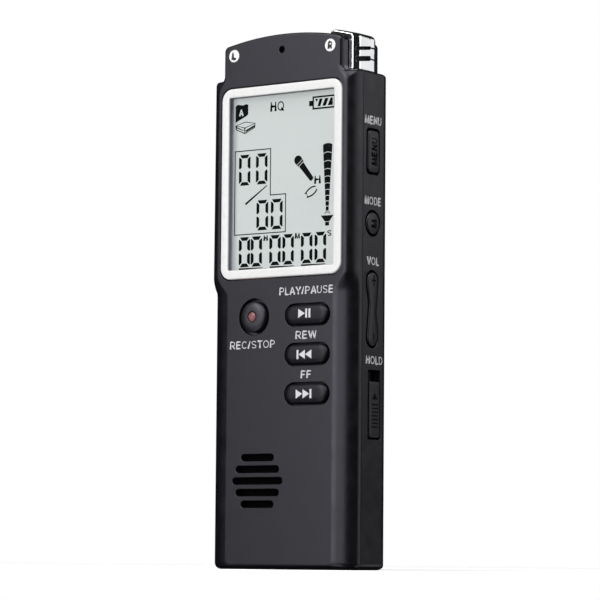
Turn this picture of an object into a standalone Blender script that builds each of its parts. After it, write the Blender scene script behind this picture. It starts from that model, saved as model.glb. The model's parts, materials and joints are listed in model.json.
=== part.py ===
"""Handheld voice recorder, standing upright on its foot. Lengths are millimetres in the tables and
functions below and become metres as each mesh is made. +X is the recorder's right side, where the
side keys are, -Y is its face, +Z is up, and the origin is the middle of the flat foot."""

import math

import bmesh
import bpy

MM = 0.001

# Overall body: face at FACE_Y, back at BACK_Y, and the seam between the two shells at SEAM_Y.
HALF_WIDTH = 16.5
HEIGHT = 102.0
FACE_Y = -6.5
BACK_Y = 6.5
SEAM_Y = -2.8
SEAM_GAP = 0.2
WALL = 1.5
FACE_WALL = 1.3
INNER_FACE_Y = FACE_Y + FACE_WALL
INNER_BACK_Y = BACK_Y - WALL
BACK_ROUNDING = 2.6
FOOT_ROUNDING = 1.4
FIT = 0.25

# Head, the narrower top that carries the microphones.
SHOULDER_Z = 94.2
HEAD_HALF_WIDTH = 13.9
CROWN_RADIUS = 63.0

# The raised face: its half width below, beside and above the display, and where it changes.
FACE_LOW, FACE_DISPLAY, FACE_HEAD = 12.3, 14.95, 13.45
WAIST, NECK = (51.8, 56.0), (91.4, 95.0)

# Display, from its white frame inwards.
DISPLAY_Z = 73.85
FRAME_SIZE = (28.36, 37.0)
FRAME_RADIUS = 2.3
FRAME_PROUD = 0.12
GLASS_OPENING = (24.75, 33.5)
WINDOW_SIZE = (25.8, 34.6)
WINDOW_FRONT_Y = -5.75
WINDOW_THICK = 0.4
PANEL_SIZE = (26.8, 35.6)
PANEL_FRONT_Y = -5.0
PANEL_THICK = 1.3

# Front keys: centre x, centre z and sizes of the caps, and each dome as (depth, inset) steps.
KEY_PROUD = 0.75
KEY_GAP = 0.32
KEY_CHAMFER = 0.18
KEY_TRAVEL = 0.4
OVAL_X = 6.53
OVAL_TOP_Z = 47.9
OVAL_PITCH = 7.46
OVAL_SIZE = (9.9, 3.75)
REC_CENTRE = (-6.04, 48.08)
REC_RADIUS = 3.08
INDICATOR_RADIUS = 0.9
CAP_DOME = ((0.0, 1.05), (0.05, 0.6), (0.2, 0.25), (0.45, 0.06), (0.75, 0.0))
REC_DOME = ((0.0, 1.9), (0.06, 1.2), (0.16, 0.6), (0.36, 0.2), (0.6, 0.04), (0.8, 0.0))

# Side keys on the right wall: centre y and z, sizes across (y) and along (z) the wall.
SIDE_Y = 0.6
SIDE_PROUD = 0.28
SIDE_GAP = 0.25
MENU_Z, MENU_SIZE = 78.95, (3.75, 8.3)
MODE_Z, MODE_RADIUS = 65.25, 2.1
VOLUME_Z, VOLUME_LENGTH = 49.0, 14.2
VOLUME_END_RADIUS, VOLUME_WAIST = 1.75, 1.15
HOLD_Y, HOLD_Z, HOLD_SIZE, HOLD_TRAVEL = 1.4, 30.1, (3.3, 10.5), 1.8
VOLUME_PIVOT_X = 13.9
SIDE_TRAVEL = 0.35
SWING = 0.45
FLANGE_BACK_X = HALF_WIDTH - WALL - SWING - 0.4

# Loudspeaker and its slots.
SPEAKER = (-4.95, 16.8)
SPEAKER_RADIUS = 6.5
SLOT_LENGTHS = (7.7, 10.2, 11.8, 10.2, 7.7)
SLOT_PITCH = 2.21
SLOT_HEIGHT = 1.35

# Microphones.
CAP_INNER_X, CAP_OUTER_X = 9.45, 15.6
CAP_FRONT_Y, CAP_BACK_Y = -4.1, 2.7
CAP_FOOT_Z = SHOULDER_Z + SEAM_GAP
CAP_CROWN = HEIGHT + 0.85
CAP_SLOTS = ((98.05, 98.6), (95.85, 96.8))
PINHOLE_Z, PINHOLE_RADIUS = 99.0, 0.65

# Circuit board and what stands on it: front switch bodies, and the plungers before them.
PCB_FRONT_Y, PCB_BACK_Y = -1.3, -0.5
SWITCH_FRONT_Y = PCB_FRONT_Y - 1.8
PLUNGER_FRONT_Y = SWITCH_FRONT_Y - 0.65
JACK_X, JACK_Y = 4.6, 2.1
USB_Z, USB_Y = 70.0, 1.7
SCREW_X, SCREW_FOOT_Z, SCREW_WAIST_Z = 12.3, 7.0, 52.75
SIDE_SWITCH_X = (9.6, 13.1)

CORNER_STEPS, WAIST_STEPS, NECK_STEPS, CROWN_STEPS = 3, 6, 3, 6


# ---------------------------------------------------------------- outlines, as lists of 2-D points


def arc(cx, cz, radius, start, end, steps):
    """Points of an arc from start to end degrees, both ends included."""
    angles = [math.radians(start + (end - start) * i / steps) for i in range(steps + 1)]
    return [(cx + radius * math.cos(a), cz + radius * math.sin(a)) for a in angles]


def ease(x0, z0, x1, z1, steps):
    """Points of a smooth S from one upright line to another."""
    shares = [i / steps for i in range(steps + 1)]
    return [(x0 + (x1 - x0) * s * s * (3 - 2 * s), z0 + (z1 - z0) * s) for s in shares]


def circle(cx, cz, radius, steps=20):
    return arc(cx, cz, radius, 0, 360, steps)[:-1]


def rounded_box(cx, cz, width, height, radius, steps=3):
    """A rectangle with round corners, anticlockwise from its lower right corner."""
    dx, dz = width / 2 - radius, height / 2 - radius
    corners = ((dx, -dz, -90), (dx, dz, 0), (-dx, dz, 90), (-dx, -dz, 180))
    points = []
    for x, z, start in corners:
        points += arc(cx + x, cz + z, radius, start, start + 90, steps)
    return points


def crown_z(x, crown=HEIGHT):
    """Height of the shallow arch over the head."""
    return crown - x * x / (2 * CROWN_RADIUS)


def closed(half):
    """A whole outline from its right half, which starts and ends on the centre line."""
    return half + [(-x, z) for x, z in reversed(half[1:-1])]


def crown_half(half_width, radius, crown):
    """The head's upper corner and the arch from there to the centre line."""
    cx = half_width - radius
    lean = math.degrees(cx / CROWN_RADIUS)
    corner = arc(cx, crown_z(cx, crown) - radius, radius, 0, 90 - lean, CORNER_STEPS)
    run = [cx * (1 - i / CROWN_STEPS) for i in range(1, CROWN_STEPS + 1)]
    return corner + [(x, crown_z(x, crown)) for x in run]


def seam_outline(inset=0.0, foot_inset=None):
    """The body's full outline: the foot, straight sides, square shoulders and the head."""
    foot = inset if foot_inset is None else foot_inset
    side, head = HALF_WIDTH - inset, HEAD_HALF_WIDTH - inset
    shoulder = SHOULDER_Z - inset
    foot_radius = max(1.2 - inset, 0.4)
    shoulder_radius, neck_radius = max(0.6 - inset, 0.25), 0.8
    half = [(0.0, foot)]
    half += arc(side - foot_radius, foot + foot_radius, foot_radius, -90, 0, CORNER_STEPS)
    half += ease(side, WAIST[0], side, WAIST[1], WAIST_STEPS)
    half += arc(side - shoulder_radius, shoulder - shoulder_radius, shoulder_radius, 0, 90, NECK_STEPS)
    half += arc(head + neck_radius, shoulder + neck_radius, neck_radius, -90, -180, NECK_STEPS)
    half += crown_half(head, max(1.1 - inset, 0.3), HEIGHT - inset)
    return closed(half)


def face_outline(inset=0.0):
    """The edge of the flat face, which widens beside the display."""
    foot_radius = max(0.7 - inset, 0.3)
    low, foot = FACE_LOW - inset, 1.0 + inset
    half = [(0.0, foot)]
    half += arc(low - foot_radius, foot + foot_radius, foot_radius, -90, 0, CORNER_STEPS)
    half += ease(low, WAIST[0], FACE_DISPLAY - inset, WAIST[1], WAIST_STEPS)
    half += ease(FACE_DISPLAY - inset, NECK[0], FACE_HEAD - inset, NECK[1], 2 * NECK_STEPS + 1)
    half += crown_half(FACE_HEAD - inset, max(0.9 - inset, 0.3), HEIGHT - 0.4 - inset)
    return closed(half)


# ---------------------------------------------------------------- meshes and objects


def ring_y(outline, y):
    return [(x, y, z) for x, z in outline]


def ring_x(outline, x):
    return [(x, y, z) for y, z in outline]


def ring_z(outline, z):
    return [(x, y, z) for x, y in outline]


def loft(rings):
    """A closed bmesh through rings of equal length, with a face over each end."""
    bm = bmesh.new()
    loops = [[bm.verts.new(point) for point in ring] for ring in rings]
    count = len(rings[0])
    for low, high in zip(loops, loops[1:]):
        for i in range(count):
            j = (i + 1) % count
            bm.faces.new((low[i], low[j], high[j], high[i]))
    bm.faces.new(loops[0])
    bm.faces.new(reversed(loops[-1]))
    bmesh.ops.recalc_face_normals(bm, faces=bm.faces)
    return bm


def box(low, high):
    """A plain block between two corners."""
    (x0, y0, z0), (x1, y1, z1) = low, high
    outline = [(x0, y0), (x1, y0), (x1, y1), (x0, y1)]
    return loft([ring_z(outline, z0), ring_z(outline, z1)])


def rod_y(x, z, radius, y0, y1, steps=20):
    outline = circle(x, z, radius, steps)
    return loft([ring_y(outline, y0), ring_y(outline, y1)])


def materials():
    """One Principled material for each finish."""
    table = {
        "shell_black": ((0.030, 0.030, 0.034), 0.45, 0.0),
        "key_black": ((0.022, 0.022, 0.025), 0.38, 0.0),
        "frame_white": ((0.86, 0.86, 0.85), 0.35, 0.0),
        "window_clear": ((0.90, 0.93, 0.92), 0.05, 0.0),
        "indicator_red": ((0.60, 0.05, 0.05), 0.3, 0.0),
        "chrome": ((0.80, 0.80, 0.82), 0.08, 1.0),
        "steel": ((0.55, 0.55, 0.57), 0.3, 1.0),
        "nickel": ((0.62, 0.60, 0.56), 0.28, 1.0),
        "cloth_black": ((0.015, 0.015, 0.016), 0.9, 0.0),
        "board_green": ((0.03, 0.16, 0.08), 0.5, 0.0),
        "display_grey": ((0.62, 0.66, 0.64), 0.4, 0.0),
        "light_guide": ((0.85, 0.86, 0.84), 0.4, 0.0),
        "battery_silver": ((0.50, 0.51, 0.53), 0.35, 0.6),
        "foam_grey": ((0.20, 0.20, 0.21), 0.9, 0.0),
        "part_black": ((0.018, 0.018, 0.020), 0.5, 0.0),
        "wire_red": ((0.45, 0.02, 0.02), 0.4, 0.0),
        "wire_black": ((0.02, 0.02, 0.02), 0.4, 0.0),
        "flex_amber": ((0.45, 0.20, 0.04), 0.35, 0.0),
    }
    made = {}
    for name, (colour, roughness, metallic) in table.items():
        material = bpy.data.materials.new(name)
        material.use_nodes = True
        shader = material.node_tree.nodes["Principled BSDF"]
        shader.inputs["Base Color"].default_value = (*colour, 1.0)
        shader.inputs["Roughness"].default_value = roughness
        shader.inputs["Metallic"].default_value = metallic
        made[name] = material
    return made


def place(name, bm, material, origin=(0.0, 0.0, 0.0)):
    """An object with its mesh in metres about its own origin."""
    bmesh.ops.translate(bm, verts=bm.verts, vec=[-c for c in origin])
    bmesh.ops.scale(bm, verts=bm.verts, vec=(MM, MM, MM))
    mesh = bpy.data.meshes.new(name)
    bm.to_mesh(mesh)
    bm.free()
    mesh.materials.append(MATERIALS[material])
    mesh.shade_smooth()
    mesh.set_sharp_from_angle(angle=math.radians(35))
    made = bpy.data.objects.new(name, mesh)
    made.location = [c * MM for c in origin]
    made.parent = RECORDER
    bpy.context.scene.collection.objects.link(made)
    return made


def combine(target, bm, operation="DIFFERENCE"):
    """Cuts one closed bmesh from target, or joins it on."""
    count = len(target.modifiers)
    tool = place(f"tool_{target.name}_{count}", bm, "part_black")
    tool.hide_render = True
    tool.display_type = "WIRE"
    modifier = target.modifiers.new(f"{operation.lower()}_{count}", "BOOLEAN")
    modifier.operation = operation
    modifier.object = tool


def join(*parts):
    """Several separate shapes as one bmesh, for cuts that don't meet each other."""
    whole = bmesh.new()
    for bm in parts:
        scratch = bpy.data.meshes.new("scratch")
        bm.to_mesh(scratch)
        bm.free()
        whole.from_mesh(scratch)
        bpy.data.meshes.remove(scratch)
    return whole


def soften(target, width, segments=1):
    """A small bevel on an object's sharp edges."""
    bevel = target.modifiers.new("bevel", "BEVEL")
    bevel.width = width * MM
    bevel.segments = segments
    bevel.limit_method = "ANGLE"
    bevel.angle_limit = math.radians(40)


# ---------------------------------------------------------------- shells


def dome(face, seam, face_y, seam_y, deepest, steps=5):
    """Rings from the flat face, round its edge and down to the seam.

    The edge is a quarter ellipse, deeper than it is wide where the flat face comes near the side."""
    depths = []
    for (fx, fz), (sx, sz) in zip(face, seam):
        depths.append(min(deepest, 2.4 * math.hypot(sx - fx, sz - fz)))
    rings = []
    for i in range(steps + 1):
        angle = math.radians(90 * i / steps)
        out, down = math.sin(angle), 1 - math.cos(angle)
        ring = []
        for (fx, fz), (sx, sz), depth in zip(face, seam, depths):
            ring.append((fx + (sx - fx) * out, face_y + depth * down, fz + (sz - fz) * out))
        rings.append(ring)
    rings.append(ring_y(seam, seam_y))
    return rings


def flared_hole(outline_at, depth_y=INNER_FACE_Y + 0.5):
    """A cutter for the face: outline_at(grow) gives its outline, and its rim is chamfered."""
    above = 0.5
    rings = [
        ring_y(outline_at(KEY_CHAMFER + above), FACE_Y - above),
        ring_y(outline_at(0.0), FACE_Y + KEY_CHAMFER),
        ring_y(outline_at(0.0), depth_y),
    ]
    return loft(rings)


def oval(z, grow=0.0):
    """The outline of a front oval key, as a stadium."""
    width, height = OVAL_SIZE[0] + 2 * grow, OVAL_SIZE[1] + 2 * grow
    return rounded_box(OVAL_X, z, width, height, height / 2 - 0.01, 5)


def front_shell():
    rings = dome(face_outline(), seam_outline(), FACE_Y, SEAM_Y, SEAM_Y - FACE_Y)
    shell = place("front_shell", loft(rings), "shell_black")
    inner_depth = SEAM_Y - INNER_FACE_Y
    below = SEAM_Y + 1.0
    cavity = dome(face_outline(0.6), seam_outline(WALL), INNER_FACE_Y, below, inner_depth, 3)
    combine(shell, loft(cavity))
    width, height = (side + 2 * SEAM_GAP for side in FRAME_SIZE)
    frame_hole = rounded_box(0, DISPLAY_Z, width, height, FRAME_RADIUS, 4)
    cuts = [loft([ring_y(frame_hole, FACE_Y - 1), ring_y(frame_hole, SEAM_Y + 2)])]
    for row in range(3):
        z = OVAL_TOP_Z - row * OVAL_PITCH
        cuts.append(flared_hole(lambda grow, z=z: oval(z, KEY_GAP + grow)))
    x, z = REC_CENTRE
    cuts.append(flared_hole(lambda grow: circle(x, z, REC_RADIUS + KEY_GAP + grow, 28)))
    for row, length in enumerate(SLOT_LENGTHS):
        slot_z = SPEAKER[1] + (2 - row) * SLOT_PITCH
        slot = rounded_box(SPEAKER[0], slot_z, length, SLOT_HEIGHT, SLOT_HEIGHT / 2 - 0.01, 3)
        cuts.append(loft([ring_y(slot, FACE_Y - 1), ring_y(slot, INNER_FACE_Y + 1)]))
    cuts.append(rod_y(0, PINHOLE_Z, PINHOLE_RADIUS, FACE_Y - 1, INNER_FACE_Y + 1, 12))
    combine(shell, join(*cuts))
    combine(shell, mic_recesses(CAP_FRONT_Y - SEAM_GAP, SEAM_Y + 1))
    for x, z in screw_places():
        combine(shell, rod_y(x, z, 1.7, INNER_FACE_Y - 0.6, -0.1, 16), "UNION")
    pilots = [rod_y(x, z, 0.95, -4.0, 1.0, 12) for x, z in screw_places()]
    combine(shell, join(*pilots))


def mic_recesses(y0, y1):
    """Room for both microphone caps, above the shoulders."""
    blocks = []
    for side in (-1, 1):
        inner, outer = side * (CAP_INNER_X - SEAM_GAP), side * (HALF_WIDTH + 1)
        low = (min(inner, outer), y0, SHOULDER_Z)
        blocks.append(box(low, (max(inner, outer), y1, HEIGHT + 3)))
    return join(*blocks)


def screw_places():
    return [(-SCREW_X, SCREW_FOOT_Z), (SCREW_X, SCREW_FOOT_Z), (0.0, SCREW_WAIST_Z)]


def tub(inset, front_y, flat_y, rounding, foot_rounding, steps):
    """Rings from the open front of a tray to its flat back, with a rounded edge."""
    rings = [ring_y(seam_outline(inset), front_y)]
    for i in range(steps + 1):
        angle = math.radians(90 * i / steps)
        pulled = 1 - math.cos(angle)
        outline = seam_outline(inset + rounding * pulled, inset + foot_rounding * pulled)
        rings.append(ring_y(outline, flat_y - rounding * (1 - math.sin(angle))))
    return rings


def side_holes():
    """Cutters through the right wall, one for each side key."""
    x0, x1 = HALF_WIDTH - WALL - 1, HALF_WIDTH + 1
    menu = rounded_box(SIDE_Y, MENU_Z, *(s + 2 * SIDE_GAP for s in MENU_SIZE), 0.9)
    mode = circle(SIDE_Y, MODE_Z, MODE_RADIUS + SIDE_GAP, 24)
    hold_height = HOLD_SIZE[1] + HOLD_TRAVEL + 2 * SIDE_GAP
    hold_z = HOLD_Z + HOLD_TRAVEL / 2
    hold = rounded_box(HOLD_Y, hold_z, HOLD_SIZE[0] + 2 * SIDE_GAP, hold_height, 0.3, 2)
    outlines = (menu, mode, volume_outline(SIDE_GAP), hold)
    return [loft([ring_x(outline, x0), ring_x(outline, x1)]) for outline in outlines]


def volume_outline(grow=0.0):
    """Two round ends joined by a narrower waist, as (y, z)."""
    reach = VOLUME_LENGTH / 2 - VOLUME_END_RADIUS
    radius, waist = VOLUME_END_RADIUS + grow, VOLUME_WAIST + grow
    upper = arc(0, reach, radius, 0, 180, 10)
    left = ease(-radius, reach - 1.5, -waist, reach - 4.0, 3)
    side = upper + left
    other = [(-y, -z) for y, z in side]
    return [(SIDE_Y + y, VOLUME_Z + z) for y, z in side + other]


def rear_shell():
    rings = tub(0.0, SEAM_Y + SEAM_GAP, BACK_Y, BACK_ROUNDING, FOOT_ROUNDING, 4)
    shell = place("rear_shell", loft(rings), "shell_black")
    inner = BACK_ROUNDING - WALL + 0.5
    combine(shell, loft(tub(WALL, SEAM_Y - 1, INNER_BACK_Y, inner, 1.0, 3)))
    jacks = []
    for side in (-1, 1):
        hole = circle(side * JACK_X, JACK_Y, 2.85, 20)
        jacks.append(loft([ring_z(hole, HEIGHT - 3.5), ring_z(hole, HEIGHT + 1)]))
    usb = rounded_box(USB_Y, USB_Z, 4.4, 8.2, 0.5, 2)
    usb_cut = loft([ring_x(usb, -HALF_WIDTH - 1), ring_x(usb, -HALF_WIDTH + WALL + 1)])
    reset = circle(USB_Y, USB_Z - 10, 0.6, 10)
    reset_cut = loft([ring_x(reset, -HALF_WIDTH - 1), ring_x(reset, -HALF_WIDTH + WALL + 1)])
    combine(shell, join(*side_holes(), *jacks, usb_cut, reset_cut))
    combine(shell, mic_recesses(SEAM_Y - 1, CAP_BACK_Y + SEAM_GAP))
    for x, z in screw_places():
        combine(shell, rod_y(x, z, 1.9, 0.1, INNER_BACK_Y + 0.6, 16), "UNION")
    for near, far in ((-3.3, -1.9), (1.9, 3.3)):
        low = (VOLUME_PIVOT_X - 0.8, SIDE_Y + near, VOLUME_Z - 0.9)
        ear = box(low, (HALF_WIDTH - WALL + 0.3, SIDE_Y + far, VOLUME_Z + 0.9))
        combine(shell, ear, "UNION")
    combine(shell, rod_y(VOLUME_PIVOT_X, VOLUME_Z, 0.5, SIDE_Y - 3.1, SIDE_Y + 3.1, 12))
    bores = []
    for x, z in screw_places():
        radii = ((-0.5, 0.95), (4.6, 0.95), (4.6, 1.75), (BACK_Y + 1, 1.75))
        bores.append(loft([ring_y(circle(x, z, r, 16), y) for y, r in radii]))
    combine(shell, join(*bores))


# ---------------------------------------------------------------- display


def display():
    width, height = FRAME_SIZE
    front, back = FACE_Y - FRAME_PROUD, WINDOW_FRONT_Y + WINDOW_THICK + 0.1
    edge = 0.2
    outer = [
        (width - 2 * edge, height - 2 * edge, front),
        (width, height, front + edge),
        (width, height, back),
    ]
    rings = [ring_y(rounded_box(0, DISPLAY_Z, w, h, FRAME_RADIUS, 4), y) for w, h, y in outer]
    bezel = place("lcd_bezel", loft(rings), "frame_white")
    opening = rounded_box(0, DISPLAY_Z, *GLASS_OPENING, 0.3, 1)
    combine(bezel, loft([ring_y(opening, front - 1), ring_y(opening, back + 1)]))
    rebate = rounded_box(0, DISPLAY_Z, *(s + 2 * SEAM_GAP for s in WINDOW_SIZE), 0.5, 1)
    combine(bezel, loft([ring_y(rebate, WINDOW_FRONT_Y - FIT), ring_y(rebate, back + 1)]))
    pane = rounded_box(0, DISPLAY_Z, *WINDOW_SIZE, 0.4, 1)
    pane_back = WINDOW_FRONT_Y + WINDOW_THICK
    place("lcd_window", loft([ring_y(pane, WINDOW_FRONT_Y), ring_y(pane, pane_back)]), "window_clear")
    panel = rounded_box(0, DISPLAY_Z, *PANEL_SIZE, 0.3, 1)
    panel_back = PANEL_FRONT_Y + PANEL_THICK
    place("lcd_panel", loft([ring_y(panel, PANEL_FRONT_Y), ring_y(panel, panel_back)]), "display_grey")
    guide_front, guide_back = panel_back + FIT, PCB_FRONT_Y - 0.35
    guide = place("lcd_backlight", box((-13.4, guide_front, 56.0), (13.4, guide_back, 91.7)), "light_guide")
    soften(guide, 0.2)
    lcd_flex(panel_back)


def lcd_flex(panel_back):
    """The flat cable that folds from the panel's lower edge down to the board."""
    low_z = DISPLAY_Z - PANEL_SIZE[1] / 2
    front, back = panel_back - 0.6, PCB_FRONT_Y - FIT
    thick = 0.15
    profile = [(front, low_z - FIT), (front, low_z - 1.2), (back, low_z - 1.6)]
    profile += [(back, low_z - 5.2), (back - thick, low_z - 5.2), (back - thick, low_z - 1.72)]
    profile += [(front - thick, low_z - 1.32), (front - thick, low_z - FIT)]
    place("lcd_flex", loft([ring_x(profile, -11.0), ring_x(profile, -2.8)]), "flex_amber")


# ---------------------------------------------------------------- front keys


def key_rings(outline_at, dome_rings):
    """A front key: domed cap, the flange that holds it in, and its rib. outline_at(grow)."""
    under_flange = INNER_FACE_Y + 0.75
    rings = [ring_y(outline_at(-inset), FACE_Y - KEY_PROUD + down) for down, inset in dome_rings]
    rings.append(ring_y(outline_at(0.0), INNER_FACE_Y + 0.3))
    rings.append(ring_y(outline_at(0.55), INNER_FACE_Y + 0.3))
    rings.append(ring_y(outline_at(0.55), under_flange))
    rings.append(ring_y(outline_at(-1.2), under_flange))
    rings.append(ring_y(outline_at(-1.2), PLUNGER_FRONT_Y - FIT))
    return rings


def front_switch(name, x, z):
    """A square switch on the board, with the round plunger that moves with its key."""
    half, bore, radius, floor_y = 2.2, 1.2, 0.95, PCB_FRONT_Y - 0.65
    body = box((x - half, SWITCH_FRONT_Y, z - half), (x + half, PCB_FRONT_Y - FIT, z + half))
    switch = place(f"{name}_switch", body, "steel")
    combine(switch, rod_y(x, z, bore, SWITCH_FRONT_Y - 1, floor_y, 14))
    plunger = rod_y(x, z, radius, PLUNGER_FRONT_Y, floor_y - KEY_TRAVEL - FIT, 12)
    place(f"{name}_plunger", plunger, "part_black", (x, PLUNGER_FRONT_Y, z))


def front_keys():
    for row, name in enumerate(("play", "rewind", "forward")):
        z = OVAL_TOP_Z - row * OVAL_PITCH
        rings = key_rings(lambda grow, z=z: oval(z, grow), CAP_DOME)
        place(f"{name}_button", loft(rings), "key_black", (OVAL_X, FACE_Y, z))
        front_switch(name, OVAL_X, z)
    x, z = REC_CENTRE
    rings = key_rings(lambda grow: circle(x, z, REC_RADIUS + grow, 28), REC_DOME)
    button = place("rec_button", loft(rings), "key_black", (x, FACE_Y, z))
    seat_y = FACE_Y - KEY_PROUD + 0.8
    combine(button, rod_y(x, z, INDICATOR_RADIUS + 0.15, FACE_Y - 2, seat_y, 16))
    top = FACE_Y - KEY_PROUD
    dot = [(seat_y - FIT, 0.0), (top + 0.12, 0.0), (top - 0.02, -0.15), (top - 0.06, -0.45)]
    dot_rings = [ring_y(circle(x, z, INDICATOR_RADIUS + grow, 16), y) for y, grow in dot]
    place("rec_indicator", loft(dot_rings), "indicator_red", (x, FACE_Y, z))
    front_switch("rec", x, z)


# ---------------------------------------------------------------- side keys


def side_key_rings(outline_at):
    """A side key from its soft outer edge in to its flange and rib, along X."""
    outer, wall = HALF_WIDTH + SIDE_PROUD, HALF_WIDTH - WALL
    steps = ((outer, -0.35), (outer - 0.07, -0.12), (outer - 0.25, 0.0), (wall - SWING, 0.0))
    rings = [ring_x(outline_at(grow), x) for x, grow in steps]
    rings.append(ring_x(outline_at(0.5), wall - SWING))
    rings.append(ring_x(outline_at(0.5), FLANGE_BACK_X))
    return rings


def side_switch(name, z, moving_origin):
    """A side-acting switch on the back of the board, with its plunger."""
    x0, x1 = SIDE_SWITCH_X
    body = box((x0, PCB_BACK_Y + FIT, z - 2.2), (x1, 1.6, z + 2.2))
    switch = place(f"{name}_switch", body, "steel")
    bore = circle(SIDE_Y, z, 0.85, 12)
    combine(switch, loft([ring_x(bore, x1 - 1.6), ring_x(bore, x1 + 1)]))
    tip = circle(SIDE_Y, z, 0.6, 10)
    inner, outer = x1 - 1.6 + SIDE_TRAVEL + 0.2, FLANGE_BACK_X - FIT
    place(f"{name}_plunger", loft([ring_x(tip, inner), ring_x(tip, outer)]), "part_black", moving_origin)


def side_keys():
    menu = side_key_rings(
        lambda grow: rounded_box(SIDE_Y, MENU_Z, *(s + 2 * grow for s in MENU_SIZE), 0.65)
    )
    place("menu_button", loft(menu), "key_black", (HALF_WIDTH, SIDE_Y, MENU_Z))
    side_switch("menu", MENU_Z, (HALF_WIDTH, SIDE_Y, MENU_Z))
    mode = side_key_rings(lambda grow: circle(SIDE_Y, MODE_Z, MODE_RADIUS + grow, 24))
    place("mode_button", loft(mode), "key_black", (HALF_WIDTH, SIDE_Y, MODE_Z))
    side_switch("mode", MODE_Z, (HALF_WIDTH, SIDE_Y, MODE_Z))
    volume()
    hold()


def volume():
    """The rocker, the pin it turns on and the switch under each end."""
    pivot = (VOLUME_PIVOT_X, SIDE_Y, VOLUME_Z)
    rocker = place("volume_rocker", loft(side_key_rings(volume_outline)), "key_black", pivot)
    ear = rounded_box(VOLUME_PIVOT_X + 0.15, VOLUME_Z, 1.8, 1.8, 0.5, 2)
    combine(rocker, loft([ring_y(ear, SIDE_Y - 1.0), ring_y(ear, SIDE_Y + 1.0)]), "UNION")
    combine(rocker, rod_y(VOLUME_PIVOT_X, VOLUME_Z, 0.45, SIDE_Y - 3, SIDE_Y + 3, 12))
    pin = rod_y(VOLUME_PIVOT_X, VOLUME_Z, 0.35, SIDE_Y - 2.9, SIDE_Y + 2.9, 12)
    place("volume_pin", pin, "steel")
    for name, side in (("volume_up", 1), ("volume_down", -1)):
        side_switch(name, VOLUME_Z + side * 5.0, pivot)


def hold():
    """The hold slider, its lever and the slide switch that the lever moves.

    Its hidden flange is long enough to close the window wherever the slider stands."""
    y = HOLD_Y
    outer, wall = HALF_WIDTH + 0.12, HALF_WIDTH - WALL
    inner, reach = wall - FIT, HOLD_TRAVEL + 0.5
    steps = ((outer, -0.15, -0.15), (outer - 0.15, 0.0, 0.0), (inner, 0.0, 0.0))
    steps += ((inner, 0.6, reach), (inner - 0.45, 0.6, reach))
    rings = []
    for x, across, along in steps:
        width, height = HOLD_SIZE[0] + 2 * across, HOLD_SIZE[1] + 2 * along
        rings.append(ring_x(rounded_box(y, HOLD_Z, width, height, 0.3, 2), x))
    origin = (HALF_WIDTH, y, HOLD_Z)
    place("hold_slider", loft(rings), "key_black", origin)
    lever = box((12.4, y - 0.6, HOLD_Z - 0.7), (inner - 0.45 - FIT, y + 0.6, HOLD_Z + 0.7))
    place("hold_lever", lever, "part_black", origin)
    low, high = HOLD_Z - 2.2, HOLD_Z + HOLD_TRAVEL + 2.2
    switch = place("hold_switch", box((10.2, PCB_BACK_Y + FIT, low), (13.2, 3.0, high)), "steel")
    slot = box((12.0, y - 0.85, HOLD_Z - 0.95), (14.0, y + 0.85, HOLD_Z + HOLD_TRAVEL + 0.95))
    combine(switch, slot)


# ---------------------------------------------------------------- microphones, sockets, speaker


def cap_outline(side, inset):
    """A microphone cap seen from the front, under the arch that the caps share."""
    inner, outer = CAP_INNER_X + inset, CAP_OUTER_X - inset
    crown, radius = CAP_CROWN - inset, max(0.75 - inset, 0.3)
    right = arc(outer - radius, crown_z(outer - radius, crown) - radius, radius, 0, 77, 4)
    run = [outer - radius - (outer - inner - 2 * radius) * i / 4 for i in range(1, 4)]
    left = arc(inner + radius, crown_z(inner + radius, crown) - radius, radius, 98, 180, 4)
    top = right + [(x, crown_z(x, crown)) for x in run] + left
    outline = [(inner, CAP_FOOT_Z), (outer, CAP_FOOT_Z)] + top
    return [(side * x, z) for x, z in outline]


def mic_cap(name, side):
    """A chrome cap with two louvre slots, hollow from below, and the capsule inside it."""
    soft = 0.4
    depths = ((CAP_FRONT_Y, soft), (CAP_FRONT_Y + 0.12, 0.12), (CAP_FRONT_Y + soft, 0.0))
    depths += ((CAP_BACK_Y - soft, 0.0), (CAP_BACK_Y - 0.12, 0.12), (CAP_BACK_Y, soft))
    rings = [ring_y(cap_outline(side, inset), y) for y, inset in depths]
    cap = place(f"{name}_mic_cap", loft(rings), "chrome")
    wall = 0.7
    xs = sorted((side * (CAP_INNER_X + wall), side * (CAP_OUTER_X - wall)))
    y0, y1 = CAP_FRONT_Y + wall, CAP_BACK_Y - wall
    combine(cap, box((xs[0], y0, CAP_FOOT_Z - 1), (xs[1], y1, 100.0)))
    slot_xs = sorted((side * (CAP_OUTER_X - wall - 0.5), side * (CAP_OUTER_X + 1)))
    slots = [box((slot_xs[0], y0 + 0.1, z0), (slot_xs[1], y1 - 0.1, z1)) for z0, z1 in CAP_SLOTS]
    combine(cap, join(*slots))
    face = circle((CAP_FRONT_Y + CAP_BACK_Y) / 2, 97.2, 2.4, 16)
    x0, x1 = side * 12.2, side * 14.3
    place(f"{name}_mic_capsule", loft([ring_x(face, x0), ring_x(face, x1)]), "nickel")


def centre_mic():
    """The small capsule behind the pinhole, in its rubber boot."""
    boot_front, boot_back = INNER_FACE_Y + FIT, PCB_FRONT_Y - 0.2
    boot = place("centre_mic_boot", rod_y(0, 96.6, 2.9, boot_front, boot_back, 18), "part_black")
    combine(boot, rod_y(0, 96.6, 2.1, INNER_FACE_Y + 0.9, boot_back + 1, 16))
    place("centre_mic_capsule", rod_y(0, 96.6, 2.0, INNER_FACE_Y + 1.0, INNER_FACE_Y + 2.6, 16), "nickel")


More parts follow.
